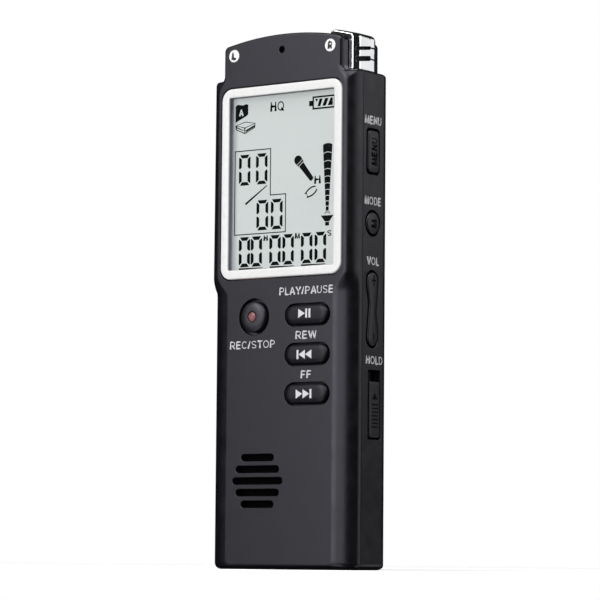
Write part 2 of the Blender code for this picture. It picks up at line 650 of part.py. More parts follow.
def jack(name, side):
    """A 3.5 mm socket: its body on the board and its round collar in the crown."""
    x = side * JACK_X
    body = box((x - 3.0, PCB_BACK_Y + FIT, 89.2), (x + 3.0, 4.6, 99.5))
    socket = place(name, body, "part_black")
    collar = circle(x, JACK_Y, 2.6, 20)
    combine(socket, loft([ring_z(collar, 98.6), ring_z(collar, HEIGHT + 0.05)]), "UNION")
    bore = circle(x, JACK_Y, 1.8, 18)
    combine(socket, loft([ring_z(bore, 90.5), ring_z(bore, HEIGHT + 1)]))


def usb_socket():
    """A small steel socket in the left wall: a rounded shell round a contact tongue."""
    outer = rounded_box(USB_Y, USB_Z, 3.9, 7.7, 0.6, 2)
    inner = rounded_box(USB_Y, USB_Z, 3.1, 6.9, 0.4, 2)
    mouth, back = -HALF_WIDTH + 0.1, -HALF_WIDTH + 8.6
    socket = place("usb_socket", loft([ring_x(outer, mouth), ring_x(outer, back)]), "steel")
    combine(socket, loft([ring_x(inner, mouth - 1), ring_x(inner, back - 0.8)]))
    tongue = box((mouth + 1.2, USB_Y - 0.4, USB_Z - 2.4), (back - 0.4, USB_Y + 0.4, USB_Z + 2.4))
    combine(socket, tongue, "UNION")


def speaker():
    x, z = SPEAKER
    cloth = rod_y(x, z, SPEAKER_RADIUS - 0.2, INNER_FACE_Y + FIT, INNER_FACE_Y + 0.3, 20)
    place("speaker_cloth", cloth, "cloth_black")
    profile = ((INNER_FACE_Y + 0.4, 6.5), (-3.0, 6.5), (-3.0, 5.2), (-1.6, 5.2))
    place("speaker", loft([ring_y(circle(x, z, r, 24), y) for y, r in profile]), "steel")


# ---------------------------------------------------------------- board, battery, leads, screws


def board():
    """The board clears the screw posts and the microphone caps, and carries two chips."""
    wide, narrow, foot, low, high, crown = 12.8, 10.2, 3.0, SCREW_FOOT_Z + 2.6, 91.6, 99.5
    half = [(narrow, foot), (narrow, low), (wide, low), (wide, high), (8.9, high), (8.9, crown)]
    outline = half + [(-x, z) for x, z in reversed(half)]
    rings = [ring_y(outline, PCB_FRONT_Y), ring_y(outline, PCB_BACK_Y)]
    pcb = place("main_pcb", loft(rings), "board_green")
    combine(pcb, rod_y(0, SCREW_WAIST_Z, 2.2, PCB_FRONT_Y - 1, PCB_BACK_Y + 1, 16))
    back = PCB_BACK_Y + FIT
    place("main_chip", box((-4.0, back, 60.0), (4.0, back + 1.1, 68.0)), "part_black")
    place("flash_chip", box((-5.5, back, 72.5), (6.5, back + 1.1, 84.5)), "part_black")


def battery():
    y0, y1 = 0.75, INNER_BACK_Y - 0.2
    cell = place("battery", box((-13.2, y0, 11.0), (8.8, y1, 50.3)), "battery_silver")
    soften(cell, 0.7, 2)
    foam = box((-11.0, PCB_BACK_Y + FIT, 15.0), (7.0, y0 - FIT, 49.0))
    place("battery_foam", foam, "foam_grey")


def lead(name, points, material):
    """A thin wire through the given points, smoothed into an even curve."""
    fine = []
    padded = [points[0], *points, points[-1]]
    for a, b, c, d in zip(padded, padded[1:], padded[2:], padded[3:]):
        for i in range(4):
            t = i / 4
            fine.append([curve_at(p, t) for p in zip(a, b, c, d)])
    fine.append(list(points[-1]))
    curve = bpy.data.curves.new(name, "CURVE")
    curve.dimensions = "3D"
    curve.bevel_depth = 0.3 * MM
    curve.bevel_resolution = 1
    curve.use_fill_caps = True
    spline = curve.splines.new("POLY")
    spline.points.add(len(fine) - 1)
    for point, place_mm in zip(spline.points, fine):
        point.co = (*(c * MM for c in place_mm), 1.0)
    curve.materials.append(MATERIALS[material])
    made = bpy.data.objects.new(name, curve)
    made.parent = RECORDER
    bpy.context.scene.collection.objects.link(made)


def curve_at(values, t):
    """Catmull-Rom blend of four values."""
    a, b, c, d = values
    bend = (2 * a - 5 * b + 4 * c - d) * t * t + (3 * b - a - 3 * c + d) * t * t * t
    return 0.5 * (2 * b + (c - a) * t + bend)


def leads():
    """Battery leads run up beside the cell to the board, speaker leads across to its right edge."""
    board_back, board_front = PCB_BACK_Y + 0.45, PCB_FRONT_Y - 0.45
    lead("battery_lead_red", [(-3, 2.6, 50.7), (-3, 2.6, 53), (-4, 1.2, 56), (-6, board_back, 58.5)], "wire_red")
    lead("battery_lead_black", [(-6, 2.6, 50.7), (-6, 2.6, 53), (-7.5, 1.2, 56), (-9, board_back, 58.5)], "wire_black")
    for name, z, material in (("speaker_lead_red", 18.0, "wire_red"), ("speaker_lead_black", 15.6, "wire_black")):
        route = [(2.1, -3.7, z), (4, -3.4, z), (6, -2.2, z + 1), (8.5, board_front, z + 1.5)]
        lead(name, route, material)


def screws():
    """Small cross-head screws that hold the shells together from behind."""
    for number, (x, z) in enumerate(screw_places(), 1):
        profile = ((-1.5, 0.7), (4.7, 0.7), (4.7, 1.5), (5.5, 1.5), (5.75, 1.1))
        rings = [ring_y(circle(x, z, radius, 16), y) for y, radius in profile]
        screw = place(f"rear_screw_{number}", loft(rings), "steel")
        for across, along in ((0.85, 0.17), (0.17, 0.85)):
            combine(screw, box((x - across, 5.35, z - along), (x + across, 6.2, z + along)))


def clear_scene():
    for existing in list(bpy.data.objects):
        bpy.data.objects.remove(existing, do_unlink=True)


clear_scene()
MATERIALS = materials()
RECORDER = bpy.data.objects.new("recorder", None)
bpy.context.scene.collection.objects.link(RECORDER)
front_shell()
rear_shell()
display()
front_keys()
side_keys()
mic_cap("left", -1)
mic_cap("right", 1)
centre_mic()
jack("earphone_jack", 1)
jack("line_in_jack", -1)
usb_socket()
speaker()
board()
battery()
leads()
screws()
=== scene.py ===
"""Looks of the handheld voice recorder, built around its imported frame. Lengths are millimetres until
a mesh is made. +X is the recorder's right side, -Y its face and +Z up."""

import json
import math

import bmesh
import bpy
from mathutils import Matrix, Vector

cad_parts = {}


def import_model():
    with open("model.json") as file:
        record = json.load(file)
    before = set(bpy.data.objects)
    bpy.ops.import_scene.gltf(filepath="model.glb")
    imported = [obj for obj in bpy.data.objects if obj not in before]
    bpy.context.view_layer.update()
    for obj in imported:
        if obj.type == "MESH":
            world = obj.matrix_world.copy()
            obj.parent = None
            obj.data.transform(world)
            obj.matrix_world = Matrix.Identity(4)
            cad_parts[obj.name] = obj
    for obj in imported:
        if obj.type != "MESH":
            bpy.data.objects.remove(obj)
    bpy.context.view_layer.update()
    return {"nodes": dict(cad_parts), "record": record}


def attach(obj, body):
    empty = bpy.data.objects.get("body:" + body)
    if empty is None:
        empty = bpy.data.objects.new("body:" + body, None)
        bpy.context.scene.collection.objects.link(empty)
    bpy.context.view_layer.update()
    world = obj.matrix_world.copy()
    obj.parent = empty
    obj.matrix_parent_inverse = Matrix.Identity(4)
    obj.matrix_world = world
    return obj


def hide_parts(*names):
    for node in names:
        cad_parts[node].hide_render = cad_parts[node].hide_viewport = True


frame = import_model()
NODES = frame["nodes"]
MM = 0.001
ROOT = "recorder"

# The body, as in the frame.
HALF_WIDTH, HEIGHT = 16.5, 102.0
FACE_Y, BACK_Y, SEAM_Y, SEAM_GAP = -6.5, 6.5, -2.8, 0.2
SEAM_SHOWN, SEAM_EDGE = 0.05, 0.05
WALL, FACE_WALL = 1.5, 1.3
INNER_FACE_Y, INNER_BACK_Y = FACE_Y + FACE_WALL, BACK_Y - WALL
BACK_ROUNDING, FOOT_ROUNDING, HEAD_ROUNDING = 2.6, 1.4, 0.75
SHOULDER_Z, HEAD_HALF_WIDTH, CROWN_RADIUS, CROWN_LIFT = 94.2, 13.9, 63.0, 0.1
FOOT_CORNER, SHOULDER_CORNER, NECK_CORNER, HEAD_CORNER = 1.2, 0.6, 0.8, 1.1
FACE_LOW, FACE_DISPLAY, FACE_HEAD = 12.42, 14.95, 13.45
FACE_FOOT_Z, FACE_FOOT_CORNER, FACE_HEAD_CORNER, FACE_DROP = 1.0, 0.7, 0.9, 0.3
WAIST, NECK = (51.8, 56.0), (91.4, 95.0)
CORNER_STEPS, WAIST_STEPS, NECK_STEPS, CROWN_STEPS = 8, 18, 8, 24

# The face's right edge: radius, slope in degrees where it starts and ends, and steps of each arc.
EDGE_ARCS = ((5.6, 3, 58, 12), (2.3, 58, 90, 7))
EDGE_BLEND, EDGE_STEEPNESS = 6, 2.4

# Display.
DISPLAY_Z = 73.85
FRAME_SIZE, FRAME_RADIUS, FRAME_PROUD, FRAME_ROUNDING = (28.36, 37.0), 2.3, 0.12, 0.28
GLASS_OPENING, REBATE_SIZE, SPACER_SIZE = (24.9, 33.5), (26.2, 35.0), (26.0, 34.8)
WINDOW_FRONT_Y, WINDOW_BACK_Y, PANEL_FRONT_Y = -5.75, -5.35, -5.0
INK_DEPTH = 0.03

# Keys.
KEY_PROUD, KEY_GAP, KEY_BASE_Y = 0.75, 0.32, INNER_FACE_Y + 0.3
OVAL_X, OVAL_TOP_Z, OVAL_PITCH, OVAL_SIZE = 6.53, 47.9, 7.46, (9.9, 3.75)
REC_CENTRE, REC_RADIUS, REC_RELIEF, INDICATOR_RADIUS = (-6.04, 47.92), 3.08, 0.16, 0.88
SIDE_Y, SIDE_PROUD, SIDE_GAP, SWING = 0.6, 0.28, 0.38, 0.45
MENU_Z, MENU_SIZE = 78.9, (3.6, 8.0)
MODE_Z, MODE_RADIUS = 65.25, 2.1
VOLUME_Z, VOLUME_LENGTH, VOLUME_END_RADIUS, VOLUME_WAIST = 49.0, 13.95, 1.65, 1.0
HOLD_Y, HOLD_Z, HOLD_SIZE, HOLD_TRAVEL, HOLD_PROUD = 1.4, 30.1, (3.3, 10.5), 1.8, 0.12

# Speaker and microphones. The crown of the right cap is lifted, the more the further inwards.
SPEAKER, SLOT_LENGTHS, SLOT_PITCH, SLOT_HEIGHT = (-4.95, 16.7), (7.7, 10.2, 11.8, 10.2, 7.7), 2.21, 1.35
SPEAKER_RADIUS = 6.3
CAP_INNER_X, CAP_OUTER_X, CAP_FRONT_Y, CAP_BACK_Y = 9.1, 15.6, -4.1, 3.25
CAP_FOOT_Z, CAP_CROWN, CAP_WALL = SHOULDER_Z + SEAM_GAP, HEIGHT + 0.85, 0.7
CAP_LIFT, CAP_SLOPE = 0.2, 0.045
LOUVRE_SLOPE, LOUVRE_BEND_Y = 0.145, 0.8
PINHOLE_Z, PINHOLE_RADIUS = 99.0, 0.65
CHANNEL_X, CHANNEL_Z, CHANNEL_RADIUS = 11.39, 98.77, 1.2

# Sockets, reset hole, screws and label.
JACK_X, JACK_Y, JACK_TOP, JACK_HOLE_RADIUS = 4.6, 2.1, HEIGHT + 0.05, 2.85
USB_Y, USB_Z, USB_SIZE, USB_RADIUS = 1.7, 70.0, (4.4, 8.2), 0.5
RESET_Z, RESET_RADIUS = 60.0, 0.6
SCREWS = ((-12.3, 7.0), (12.3, 7.0), (0.0, 52.75))
SCREW_HOLE_RADIUS, SCREW_SEAT_RADIUS, SCREW_BORE_RADIUS = 1.75, 2.4, 1.6
LABEL_Z, LABEL_SIZE, LABEL_DEPTH = 26.0, (22.0, 20.0), 0.12

# Prints: their thickness, and how far they sink into what they stand on.
MARK_PRINT = {"depth": 0.02, "sink": 0.05}
INK_PRINT = {"depth": INK_DEPTH, "sink": 0.0}
PRINT_DEPTH = 0.03

# Stage, light and camera. Radiances are relative to a white world.
WORLD_LIGHT = 0.015
FLOOR_RADIUS = 260
LIGHT_AIM, LIGHT_DISTANCE = (0.0, 0.0, 50.0), 900
CAMERA_AZIMUTH, CAMERA_ELEVATION, CAMERA_ROLL = 36.088, -4.98, 0.473
CAMERA_TARGET, CAMERA_DISTANCE = (4.809, FACE_Y, 50.717), 555.461
SENSOR_WIDTH, FOCAL_LENGTH = 36.0, 176.5908


# -------- outlines, as lists of 2-D points


def arc(cx, cz, radius, start, end, steps):
    angles = [math.radians(start + (end - start) * i / steps) for i in range(steps + 1)]
    return [(cx + radius * math.cos(a), cz + radius * math.sin(a)) for a in angles]


def ease(x0, z0, x1, z1, steps):
    shares = [i / steps for i in range(steps + 1)]
    return [(x0 + (x1 - x0) * s * s * (3 - 2 * s), z0 + (z1 - z0) * s) for s in shares]


def circle(cx, cz, radius, steps=48):
    return arc(cx, cz, radius, 0, 360, steps)[:-1]


def rounded_box(cx, cz, width, height, radius, steps=8):
    dx, dz = width / 2 - radius, height / 2 - radius
    corners = ((dx, -dz, -90), (dx, dz, 0), (-dx, dz, 90), (-dx, -dz, 180))
    points = []
    for x, z, start in corners:
        points += arc(cx + x, cz + z, radius, start, start + 90, steps)
    return points


def rectangle(x0, z0, x1, z1):
    return [(x0, z0), (x1, z0), (x1, z1), (x0, z1)]


def quarter(steps):
    """A rounded edge as shares of its radius, from its mouth to its side: the way still to go outwards
    and the way down."""
    angles = [math.radians(90 * i / steps) for i in range(steps + 1)]
    return [(1 - math.sin(angle), 1 - math.cos(angle)) for angle in angles]


def crown_z(x, crown=HEIGHT):
    return crown - x * x / (2 * CROWN_RADIUS)


def closed(half):
    return half + [(-x, z) for x, z in reversed(half[1:-1])]


def crown_half(half_width, radius, crown):
    cx = half_width - radius
    lean = math.degrees(cx / CROWN_RADIUS)
    corner = arc(cx, crown_z(cx, crown) - radius, radius, 0, 90 - lean, CORNER_STEPS)
    run = [cx * (1 - i / CROWN_STEPS) for i in range(1, CROWN_STEPS + 1)]
    return corner + [(x, crown_z(x, crown)) for x in run]


def seam_outline(inset=0.0, foot_inset=None, head_inset=None):
    """The body from the front, where the two shells meet."""
    foot = inset if foot_inset is None else foot_inset
    head_inset = inset if head_inset is None else head_inset
    side, head, shoulder = HALF_WIDTH - inset, HEAD_HALF_WIDTH - head_inset, SHOULDER_Z - inset
    half = [(0.0, foot)]
    radius = max(FOOT_CORNER - inset, 0.4)
    half += arc(side - radius, foot + radius, radius, -90, 0, CORNER_STEPS)
    half += ease(side, WAIST[0], side, WAIST[1], WAIST_STEPS)
    radius = max(SHOULDER_CORNER - inset, 0.25)
    half += arc(side - radius, shoulder - radius, radius, 0, 90, NECK_STEPS)
    half += arc(head + NECK_CORNER, shoulder + NECK_CORNER, NECK_CORNER, -90, -180, NECK_STEPS)
    half += crown_half(head, max(HEAD_CORNER - head_inset, 0.3), HEIGHT + CROWN_LIFT - head_inset)
    return closed(half)


def face_outline(inset=0.0):
    """The flat part of the face, wider beside the display."""
    radius = max(FACE_FOOT_CORNER - inset, 0.3)
    low, foot = FACE_LOW - inset, FACE_FOOT_Z + inset
    crown = HEIGHT + CROWN_LIFT - FACE_DROP - inset
    half = [(0.0, foot)]
    half += arc(low - radius, foot + radius, radius, -90, 0, CORNER_STEPS)
    half += ease(low, WAIST[0], FACE_DISPLAY - inset, WAIST[1], WAIST_STEPS)
    half += ease(FACE_DISPLAY - inset, NECK[0], FACE_HEAD - inset, NECK[1], 2 * NECK_STEPS + 1)
    half += crown_half(FACE_HEAD - inset, max(FACE_HEAD_CORNER - inset, 0.3), crown)
    return closed(half)


def around_display(size, grow, radius, steps=12):
    """A rounded outline about the middle of the display, grown on every side."""
    return rounded_box(0, DISPLAY_Z, size[0] + 2 * grow, size[1] + 2 * grow, radius + grow, steps)


def oval(z, grow=0.0):
    width, height = OVAL_SIZE[0] + 2 * grow, OVAL_SIZE[1] + 2 * grow
    return rounded_box(OVAL_X, z, width, height, height / 2 - 0.01, 14)


def volume_outline(grow=0.0):
    reach = VOLUME_LENGTH / 2 - VOLUME_END_RADIUS
    radius, waist = VOLUME_END_RADIUS + grow, VOLUME_WAIST + grow
    side = arc(0, reach, radius, 0, 180, 20) + ease(-radius, reach - 0.6, -waist, 0.6, 14)
    return [(SIDE_Y + y, VOLUME_Z + z) for y, z in side + [(-y, -z) for y, z in side]]


def stroke(points, width, close=False):
    """The outline of a line of that width through the points, with mitred corners."""
    count = len(points)
    left, right = [], []
    for i, (x, z) in enumerate(points):
        before = points[i - 1] if i or close else points[i]
        after = points[(i + 1) % count] if i < count - 1 or close else points[i]
        a, b = Vector((x - before[0], z - before[1])), Vector((after[0] - x, after[1] - z))
        a, b = (a or b).normalized(), (b or a).normalized()
        across = Vector((-(a + b).y, (a + b).x)).normalized()
        reach = width / 2 / max(0.4, across.dot(Vector((-a.y, a.x))))
        left.append((x + across.x * reach, z + across.y * reach))
        right.append((x - across.x * reach, z - across.y * reach))
    if close:
        pairs = [(i, (i + 1) % count) for i in range(count)]
        return [[left[i], left[j], right[j], right[i]] for i, j in pairs]
    return [left + right[::-1]]


# -------- meshes and pieces


def ring_y(outline, y):
    return [(x, y, z) for x, z in outline]


def ring_x(outline, x):
    return [(x, y, z) for y, z in outline]


def ring_z(outline, z):
    return [(x, y, z) for x, y in outline]


def loft(rings, endless=False):
    """A body through rings of points: capped at both ends or, when endless, joined end to end."""
    bm = bmesh.new()
    loops = [[bm.verts.new(point) for point in ring] for ring in rings]
    count = len(rings[0])
    for low, high in zip(loops, loops[1:] + loops[:1] if endless else loops[1:]):
        for i in range(count):
            j = (i + 1) % count
            bm.faces.new((low[i], low[j], high[j], high[i]))
    if not endless:
        bm.faces.new(loops[0])
        bm.faces.new(reversed(loops[-1]))
    bmesh.ops.recalc_face_normals(bm, faces=bm.faces)
    return bm


def prism(outline, low, high, ring=ring_y):
    """A straight body of that outline, from low to high along one axis."""
    return loft([ring(outline, at) for at in (low, high)])


def box(low, high):
    (x0, y0, z0), (x1, y1, z1) = low, high
    return prism(rectangle(x0, y0, x1, y1), z0, z1, ring_z)


def join(*parts):
    whole = bmesh.new()
    for bm in parts:
        scratch = bpy.data.meshes.new("scratch")
        bm.to_mesh(scratch)
        bm.free()
        whole.from_mesh(scratch)
        bpy.data.meshes.remove(scratch)
    return whole


def mesh_of(name, bm):
    bmesh.ops.scale(bm, verts=bm.verts, vec=(MM, MM, MM))
    mesh = bpy.data.meshes.new(name)
    bm.to_mesh(mesh)
    bm.free()
    return mesh


def added(name, data):
    """A new object in the scene."""
    made = bpy.data.objects.new(name, data)
    bpy.context.scene.collection.objects.link(made)
    return made


def settle(made):
    """Replaces a piece's mesh by what its modifiers make of it."""
    bpy.context.view_layer.update()
    evaluated = made.evaluated_get(bpy.context.evaluated_depsgraph_get())
    mesh = bpy.data.meshes.new_from_object(evaluated)
    made.modifiers.clear()
    made.data = mesh


def paint_over(mesh, material):
    mesh.materials.clear()
    mesh.materials.append(material)


def piece(name, bm, material, body=ROOT, cuts=(), joins=(), bevel=0.0, replaces=(), sharp=32,
          even=False):
    """A finished piece in place: its mesh cut, joined and bevelled, its material and body.

    even keeps the shading of large flat faces flat where soft edges meet them."""
    made = added(name, mesh_of(name, bm))
    for operation, tools in (("UNION", joins), ("DIFFERENCE", cuts)):
        for tool_bm in tools:
            tool = added("tool", mesh_of("tool", tool_bm))
            modifier = made.modifiers.new("boolean", "BOOLEAN")
            modifier.operation = operation
            modifier.object = tool
            settle(made)
            bpy.data.objects.remove(tool, do_unlink=True)
    if bevel:
        modifier = made.modifiers.new("bevel", "BEVEL")
        modifier.width = bevel * MM
        modifier.segments = 3
        modifier.limit_method = "ANGLE"
        modifier.angle_limit = math.radians(38)
        settle(made)
    made.data.name = name
    paint_over(made.data, material)
    made.data.shade_smooth()
    made.data.set_sharp_from_angle(angle=math.radians(sharp))
    if even:
        modifier = made.modifiers.new("even", "WEIGHTED_NORMAL")
        modifier.keep_sharp = True
        modifier.weight = 80
        settle(made)
        made.data.name = name
    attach(made, body)
    if replaces:
        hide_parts(*replaces)


# -------- materials


class Surface:
    """A Principled material whose noise and bump are in millimetres of the object."""

    def __init__(self, name, colour, roughness, metallic=0.0, **sockets):
        self.material = bpy.data.materials.new(name)
        self.material.use_nodes = True
        self.tree = self.material.node_tree
        self.shader = self.tree.nodes["Principled BSDF"]
        self.shader.inputs["Base Color"].default_value = (*colour, 1.0)
        self.shader.inputs["Roughness"].default_value = roughness
        self.shader.inputs["Metallic"].default_value = metallic
        for key, value in sockets.items():
            self.shader.inputs[key.replace("_", " ")].default_value = value
        self.colour, self.normal = colour, None

    def add(self, kind, inputs=None, **settings):
        node = self.tree.nodes.new(kind)
        for key, value in settings.items():
            setattr(node, key, value)
        for key, value in (inputs or {}).items():
            node.inputs[key].default_value = value
        return node

    def link(self, source, target):
        self.tree.links.new(source, target)

    def coordinates(self, stretch=(1.0, 1.0, 1.0), turn=(0.0, 0.0, 0.0)):
        """Object coordinates in millimetres, stretched and turned for a grain."""
        source = self.add("ShaderNodeTexCoord")
        scale, rotation = [s / MM for s in stretch], [math.radians(t) for t in turn]
        mapping = self.add("ShaderNodeMapping", {"Scale": scale, "Rotation": rotation})
        self.link(source.outputs["Object"], mapping.inputs["Vector"])
        return mapping.outputs["Vector"]

    def noise(self, size, detail=3.0, stretch=(1.0, 1.0, 1.0)):
        """Noise whose blotches are about size millimetres across."""
        node = self.add("ShaderNodeTexNoise", {"Scale": 1.0 / size, "Detail": detail})
        self.link(self.coordinates(stretch), node.inputs["Vector"])
        return node.outputs["Fac"]

    def cells(self, size, randomness=1.0):
        """The distance to the edges of cells about size millimetres across."""
        inputs = {"Scale": 1.0 / size, "Randomness": randomness}
        node = self.add("ShaderNodeTexVoronoi", inputs, feature="DISTANCE_TO_EDGE")
        self.link(self.coordinates(), node.inputs["Vector"])
        return node.outputs["Distance"]

    def spread(self, value, low, high, from_low=0.3, from_high=0.7):
        """value from from_low..from_high spread over low..high."""
        limits = {"From Min": from_low, "From Max": from_high, "To Min": low, "To Max": high}
        node = self.add("ShaderNodeMapRange", limits)
        self.link(value, node.inputs["Value"])
        return node.outputs["Result"]

    def tint(self, value, dark, light, low=0.3, high=0.7):
        """Colours the base from dark to light along value."""
        ramp = self.add("ShaderNodeValToRGB")
        ends = ramp.color_ramp.elements
        ends[0].position, ends[1].position = low, high
        ends[0].color, ends[1].color = (*dark, 1.0), (*light, 1.0)
        self.link(value, ramp.inputs["Fac"])
        self.link(ramp.outputs["Color"], self.shader.inputs["Base Color"])

    def shade(self, value, amount):
        """A gentle variation of the base colour along value."""
        dark = [c * (1 - amount) for c in self.colour]
        light = [min(1.0, c * (1 + amount)) for c in self.colour]
        self.tint(value, dark, light)

    def rough(self, value, low, high):
        self.link(self.spread(value, low, high), self.shader.inputs["Roughness"])

    def bump(self, value, depth, strength=1.0):
        """A bump of depth millimetres, on top of any before it."""
        node = self.add("ShaderNodeBump", {"Strength": strength, "Distance": depth * MM})
        self.link(value, node.inputs["Height"])
        if self.normal:
            self.link(self.normal, node.inputs["Normal"])
        self.normal = node.outputs["Normal"]
        self.link(self.normal, self.shader.inputs["Normal"])

    def weave(self, size):
        """A plain weave: two crossing waves, multiplied."""
        waves = []
        for turn in ((0, 45, 0), (0, -45, 0)):
            wave = self.add("ShaderNodeTexWave", {"Scale": 1.0 / (size * 3.2)})
            self.link(self.coordinates(turn=turn), wave.inputs["Vector"])
            waves.append(wave.outputs["Fac"])
        product = self.add("ShaderNodeMath", operation="MULTIPLY")
        self.link(waves[0], product.inputs[0])
        self.link(waves[1], product.inputs[1])
        return product.outputs["Value"]


def moulded(name, colour, roughness, grain=0.22, depth=0.006, **sockets):
    """Moulded plastic: a spark-eroded grain, a faint flow in the gloss, a touch of handling."""
    s = Surface(name, colour, roughness, **sockets)
    s.shade(s.noise(7.0, 4.0), 0.10)
    s.rough(s.noise(2.6, 6.0), roughness - 0.05, roughness + 0.05)
    s.bump(s.noise(grain, 2.0), depth)
    s.bump(s.noise(9.0, 1.0), 0.015, 0.5)
    return s.material


def glossy(name, colour, roughness, **sockets):
    """Smoother plastic for keys, with fine wipe marks."""
    s = Surface(name, colour, roughness, **sockets)
    s.shade(s.noise(3.0, 3.0), 0.10)
    s.rough(s.noise(1.4, 7.0, stretch=(1.0, 1.0, 0.35)), roughness - 0.06, roughness + 0.07)
    s.bump(s.noise(0.16, 2.0), 0.0025)
    return s.material


def enamel(name, colour, roughness):
    """Clean white moulding with a fine, even gloss."""
    s = Surface(name, colour, roughness)
    s.shade(s.noise(1.1, 3.0), 0.03)
    s.rough(s.noise(1.4, 7.0, stretch=(1.0, 1.0, 0.35)), roughness - 0.04, roughness + 0.04)
    s.bump(s.noise(0.16, 2.0), 0.0015)
    return s.material


def metal(name, colour, roughness, stretch=(1.0, 1.0, 1.0), depth=0.0006):
    """Metal with hairlines along the axis that stretch makes long."""
    s = Surface(name, colour, roughness, 1.0)
    s.shade(s.noise(4.0, 3.0), 0.05)
    s.rough(s.noise(0.5, 6.0, stretch=stretch), max(0.02, roughness * 0.7), roughness * 1.35)
    s.bump(s.noise(0.12, 3.0, stretch=stretch), depth)
    return s.material


def plated(name, colour, roughness):
    """Bright plating over a moulding: mirror-like, with a slow waviness and fine wipes."""
    s = Surface(name, colour, roughness, 1.0)
    s.shade(s.noise(4.0, 3.0), 0.05)
    s.rough(s.noise(0.5, 6.0), roughness * 0.7, roughness * 1.8)
    s.bump(s.noise(1.3, 2.0), 0.07)
    return s.material


def paint(name, colour, **sockets):
    """Pad-printed ink: nearly flat, with a slight mottle where it went on thin."""
    s = Surface(name, colour, 0.55, **sockets)
    s.tint(s.noise(0.16, 4.0), [c * 0.8 for c in colour], colour, 0.28, 0.5)
    s.bump(s.noise(0.1, 2.0), 0.002)
    return s.material


def plain(name, colour, roughness, mottle, amount, **sockets):
    """A flat finish, mottled by that amount in blotches of that size."""
    s = Surface(name, colour, roughness, **sockets)
    s.shade(s.noise(mottle), amount)
    return s.material


def woven(name, colour, size, depth, **sockets):
    """Cloth in a plain weave: dark between its threads, lighter along them."""
    s = Surface(name, colour, 0.9, **sockets)
    threads = s.weave(size)
    s.tint(threads, [c * 0.3 for c in colour], [c * 1.6 for c in colour], 0.1, 0.9)
    s.bump(threads, depth)
    s.bump(s.noise(0.1, 3.0), depth * 0.3)
    return s.material


COOL = (0.88, 0.87, 1.0, 1.0)
SHELL = moulded("shell_black", (0.0018, 0.0018, 0.0030), 0.345, Specular_Tint=COOL)
KEY = glossy("key_black", (0.0030, 0.0030, 0.0040), 0.36, Specular_IOR_Level=0.3, Specular_Tint=COOL)
RECORD_KEY = glossy("record_key_black", (0.0035, 0.0035, 0.0045), 0.42, Specular_IOR_Level=0.6,
                    Specular_Tint=COOL)
SIDE_KEY = moulded("side_key_black", (0.0045, 0.0045, 0.0058), 0.35, 0.18, 0.003, Specular_Tint=COOL)
FRAME = enamel("frame_white", (0.64, 0.64, 0.635), 0.30)
CHROME = plated("chrome", (0.86, 0.87, 0.89), 0.05)
NICKEL = metal("nickel", (0.62, 0.60, 0.56), 0.26, (1.0, 1.0, 0.2))
GASKET = moulded("gasket_black", (0.010, 0.010, 0.012), 0.6, Specular_IOR_Level=0.2)
GAUZE = woven("gauze_dark", (0.035, 0.035, 0.038), 0.16, 0.05)
MESH = woven("mesh_dark", (0.0025, 0.0025, 0.003), 0.22, 0.06, Specular_IOR_Level=0.05)
# A dark blue-grey sheet over the frame's white inner wall: painted shade where that wall falls into
# shadow.
LINER_PAINTED_SHADE = moulded("liner_painted_shade", (0.12, 0.125, 0.15), 0.5, 0.3, 0.002)
LEGEND = paint("legend_white", (0.51, 0.51, 0.53))
# One white print with LEGEND, painted lighter here to make up for the dimmer light on the side.
SIDE_LEGEND_PAINTED_LIGHTER = paint("legend_white_side_painted_lighter", (0.62, 0.62, 0.64))
DISC = paint("disc_white", (0.72, 0.72, 0.73))
LETTER = paint("letter_black", (0.006, 0.006, 0.007))
ICON = paint("icon_white", (0.55, 0.55, 0.57))
MARK = paint("mark_black", (0.002, 0.002, 0.002), Specular_IOR_Level=0.05)
# The spacer's blue-grey is partly its own grey and partly painted shade of the display's recess wall.
SPACER_AND_SHADE = plain("spacer_grey_and_shade", (0.4, 0.41, 0.46), 0.5, 0.8, 0.1)
INK = plain("display_ink", (0.003, 0.0035, 0.004), 0.6, 0.5, 0.3, Specular_IOR_Level=0.0)
KNOCK_OUT = plain("display_knockout", (0.6, 0.63, 0.63), 0.6, 0.6, 0.05)


def panel_material():
    """The reflective display: grey-green film with a faint cell grid, a painted glow that lifts it and
    fills the frame's shadow on it, and a painted shadow along its left edge.
    """
    # Painted glow: the film emits light though it is not lit, so the frame's shadow on it stays faint.
    s = Surface("display_film_painted_light", (0.215, 0.228, 0.225), 0.5, Emission_Strength=0.385)
    s.shader.inputs["Emission Color"].default_value = (0.93, 1.0, 0.98, 1.0)
    axes = s.add("ShaderNodeSeparateXYZ")
    s.link(s.coordinates(), axes.inputs["Vector"])
    # Painted shadow: the base colour darkens over the left 1.2 mm, where the frame's wall shades the
    # film.
    painted_shadow = s.add("ShaderNodeMath", operation="ADD")
    s.link(s.spread(axes.outputs["X"], 0.0, 0.95, -12.45, -11.25), painted_shadow.inputs[0])
    s.link(s.spread(s.noise(16.0, 2.0), -0.05, 0.05), painted_shadow.inputs[1])
    s.tint(painted_shadow.outputs["Value"], (0.03, 0.035, 0.06), (0.22, 0.233, 0.230), 0.0, 1.0)
    s.bump(s.cells(0.28, 0.15), 0.004)
    return s.material


def window_material():
    """Clear acrylic: most light goes straight through, the rest is a faint gloss with fine wipes."""
    s = Surface("window_clear", (0.05, 0.06, 0.06), 0.03, Alpha=0.03, Specular_IOR_Level=0.2)
    s.rough(s.noise(1.2, 6.0, stretch=(1.0, 1.0, 0.3)), 0.02, 0.06)
    return s.material


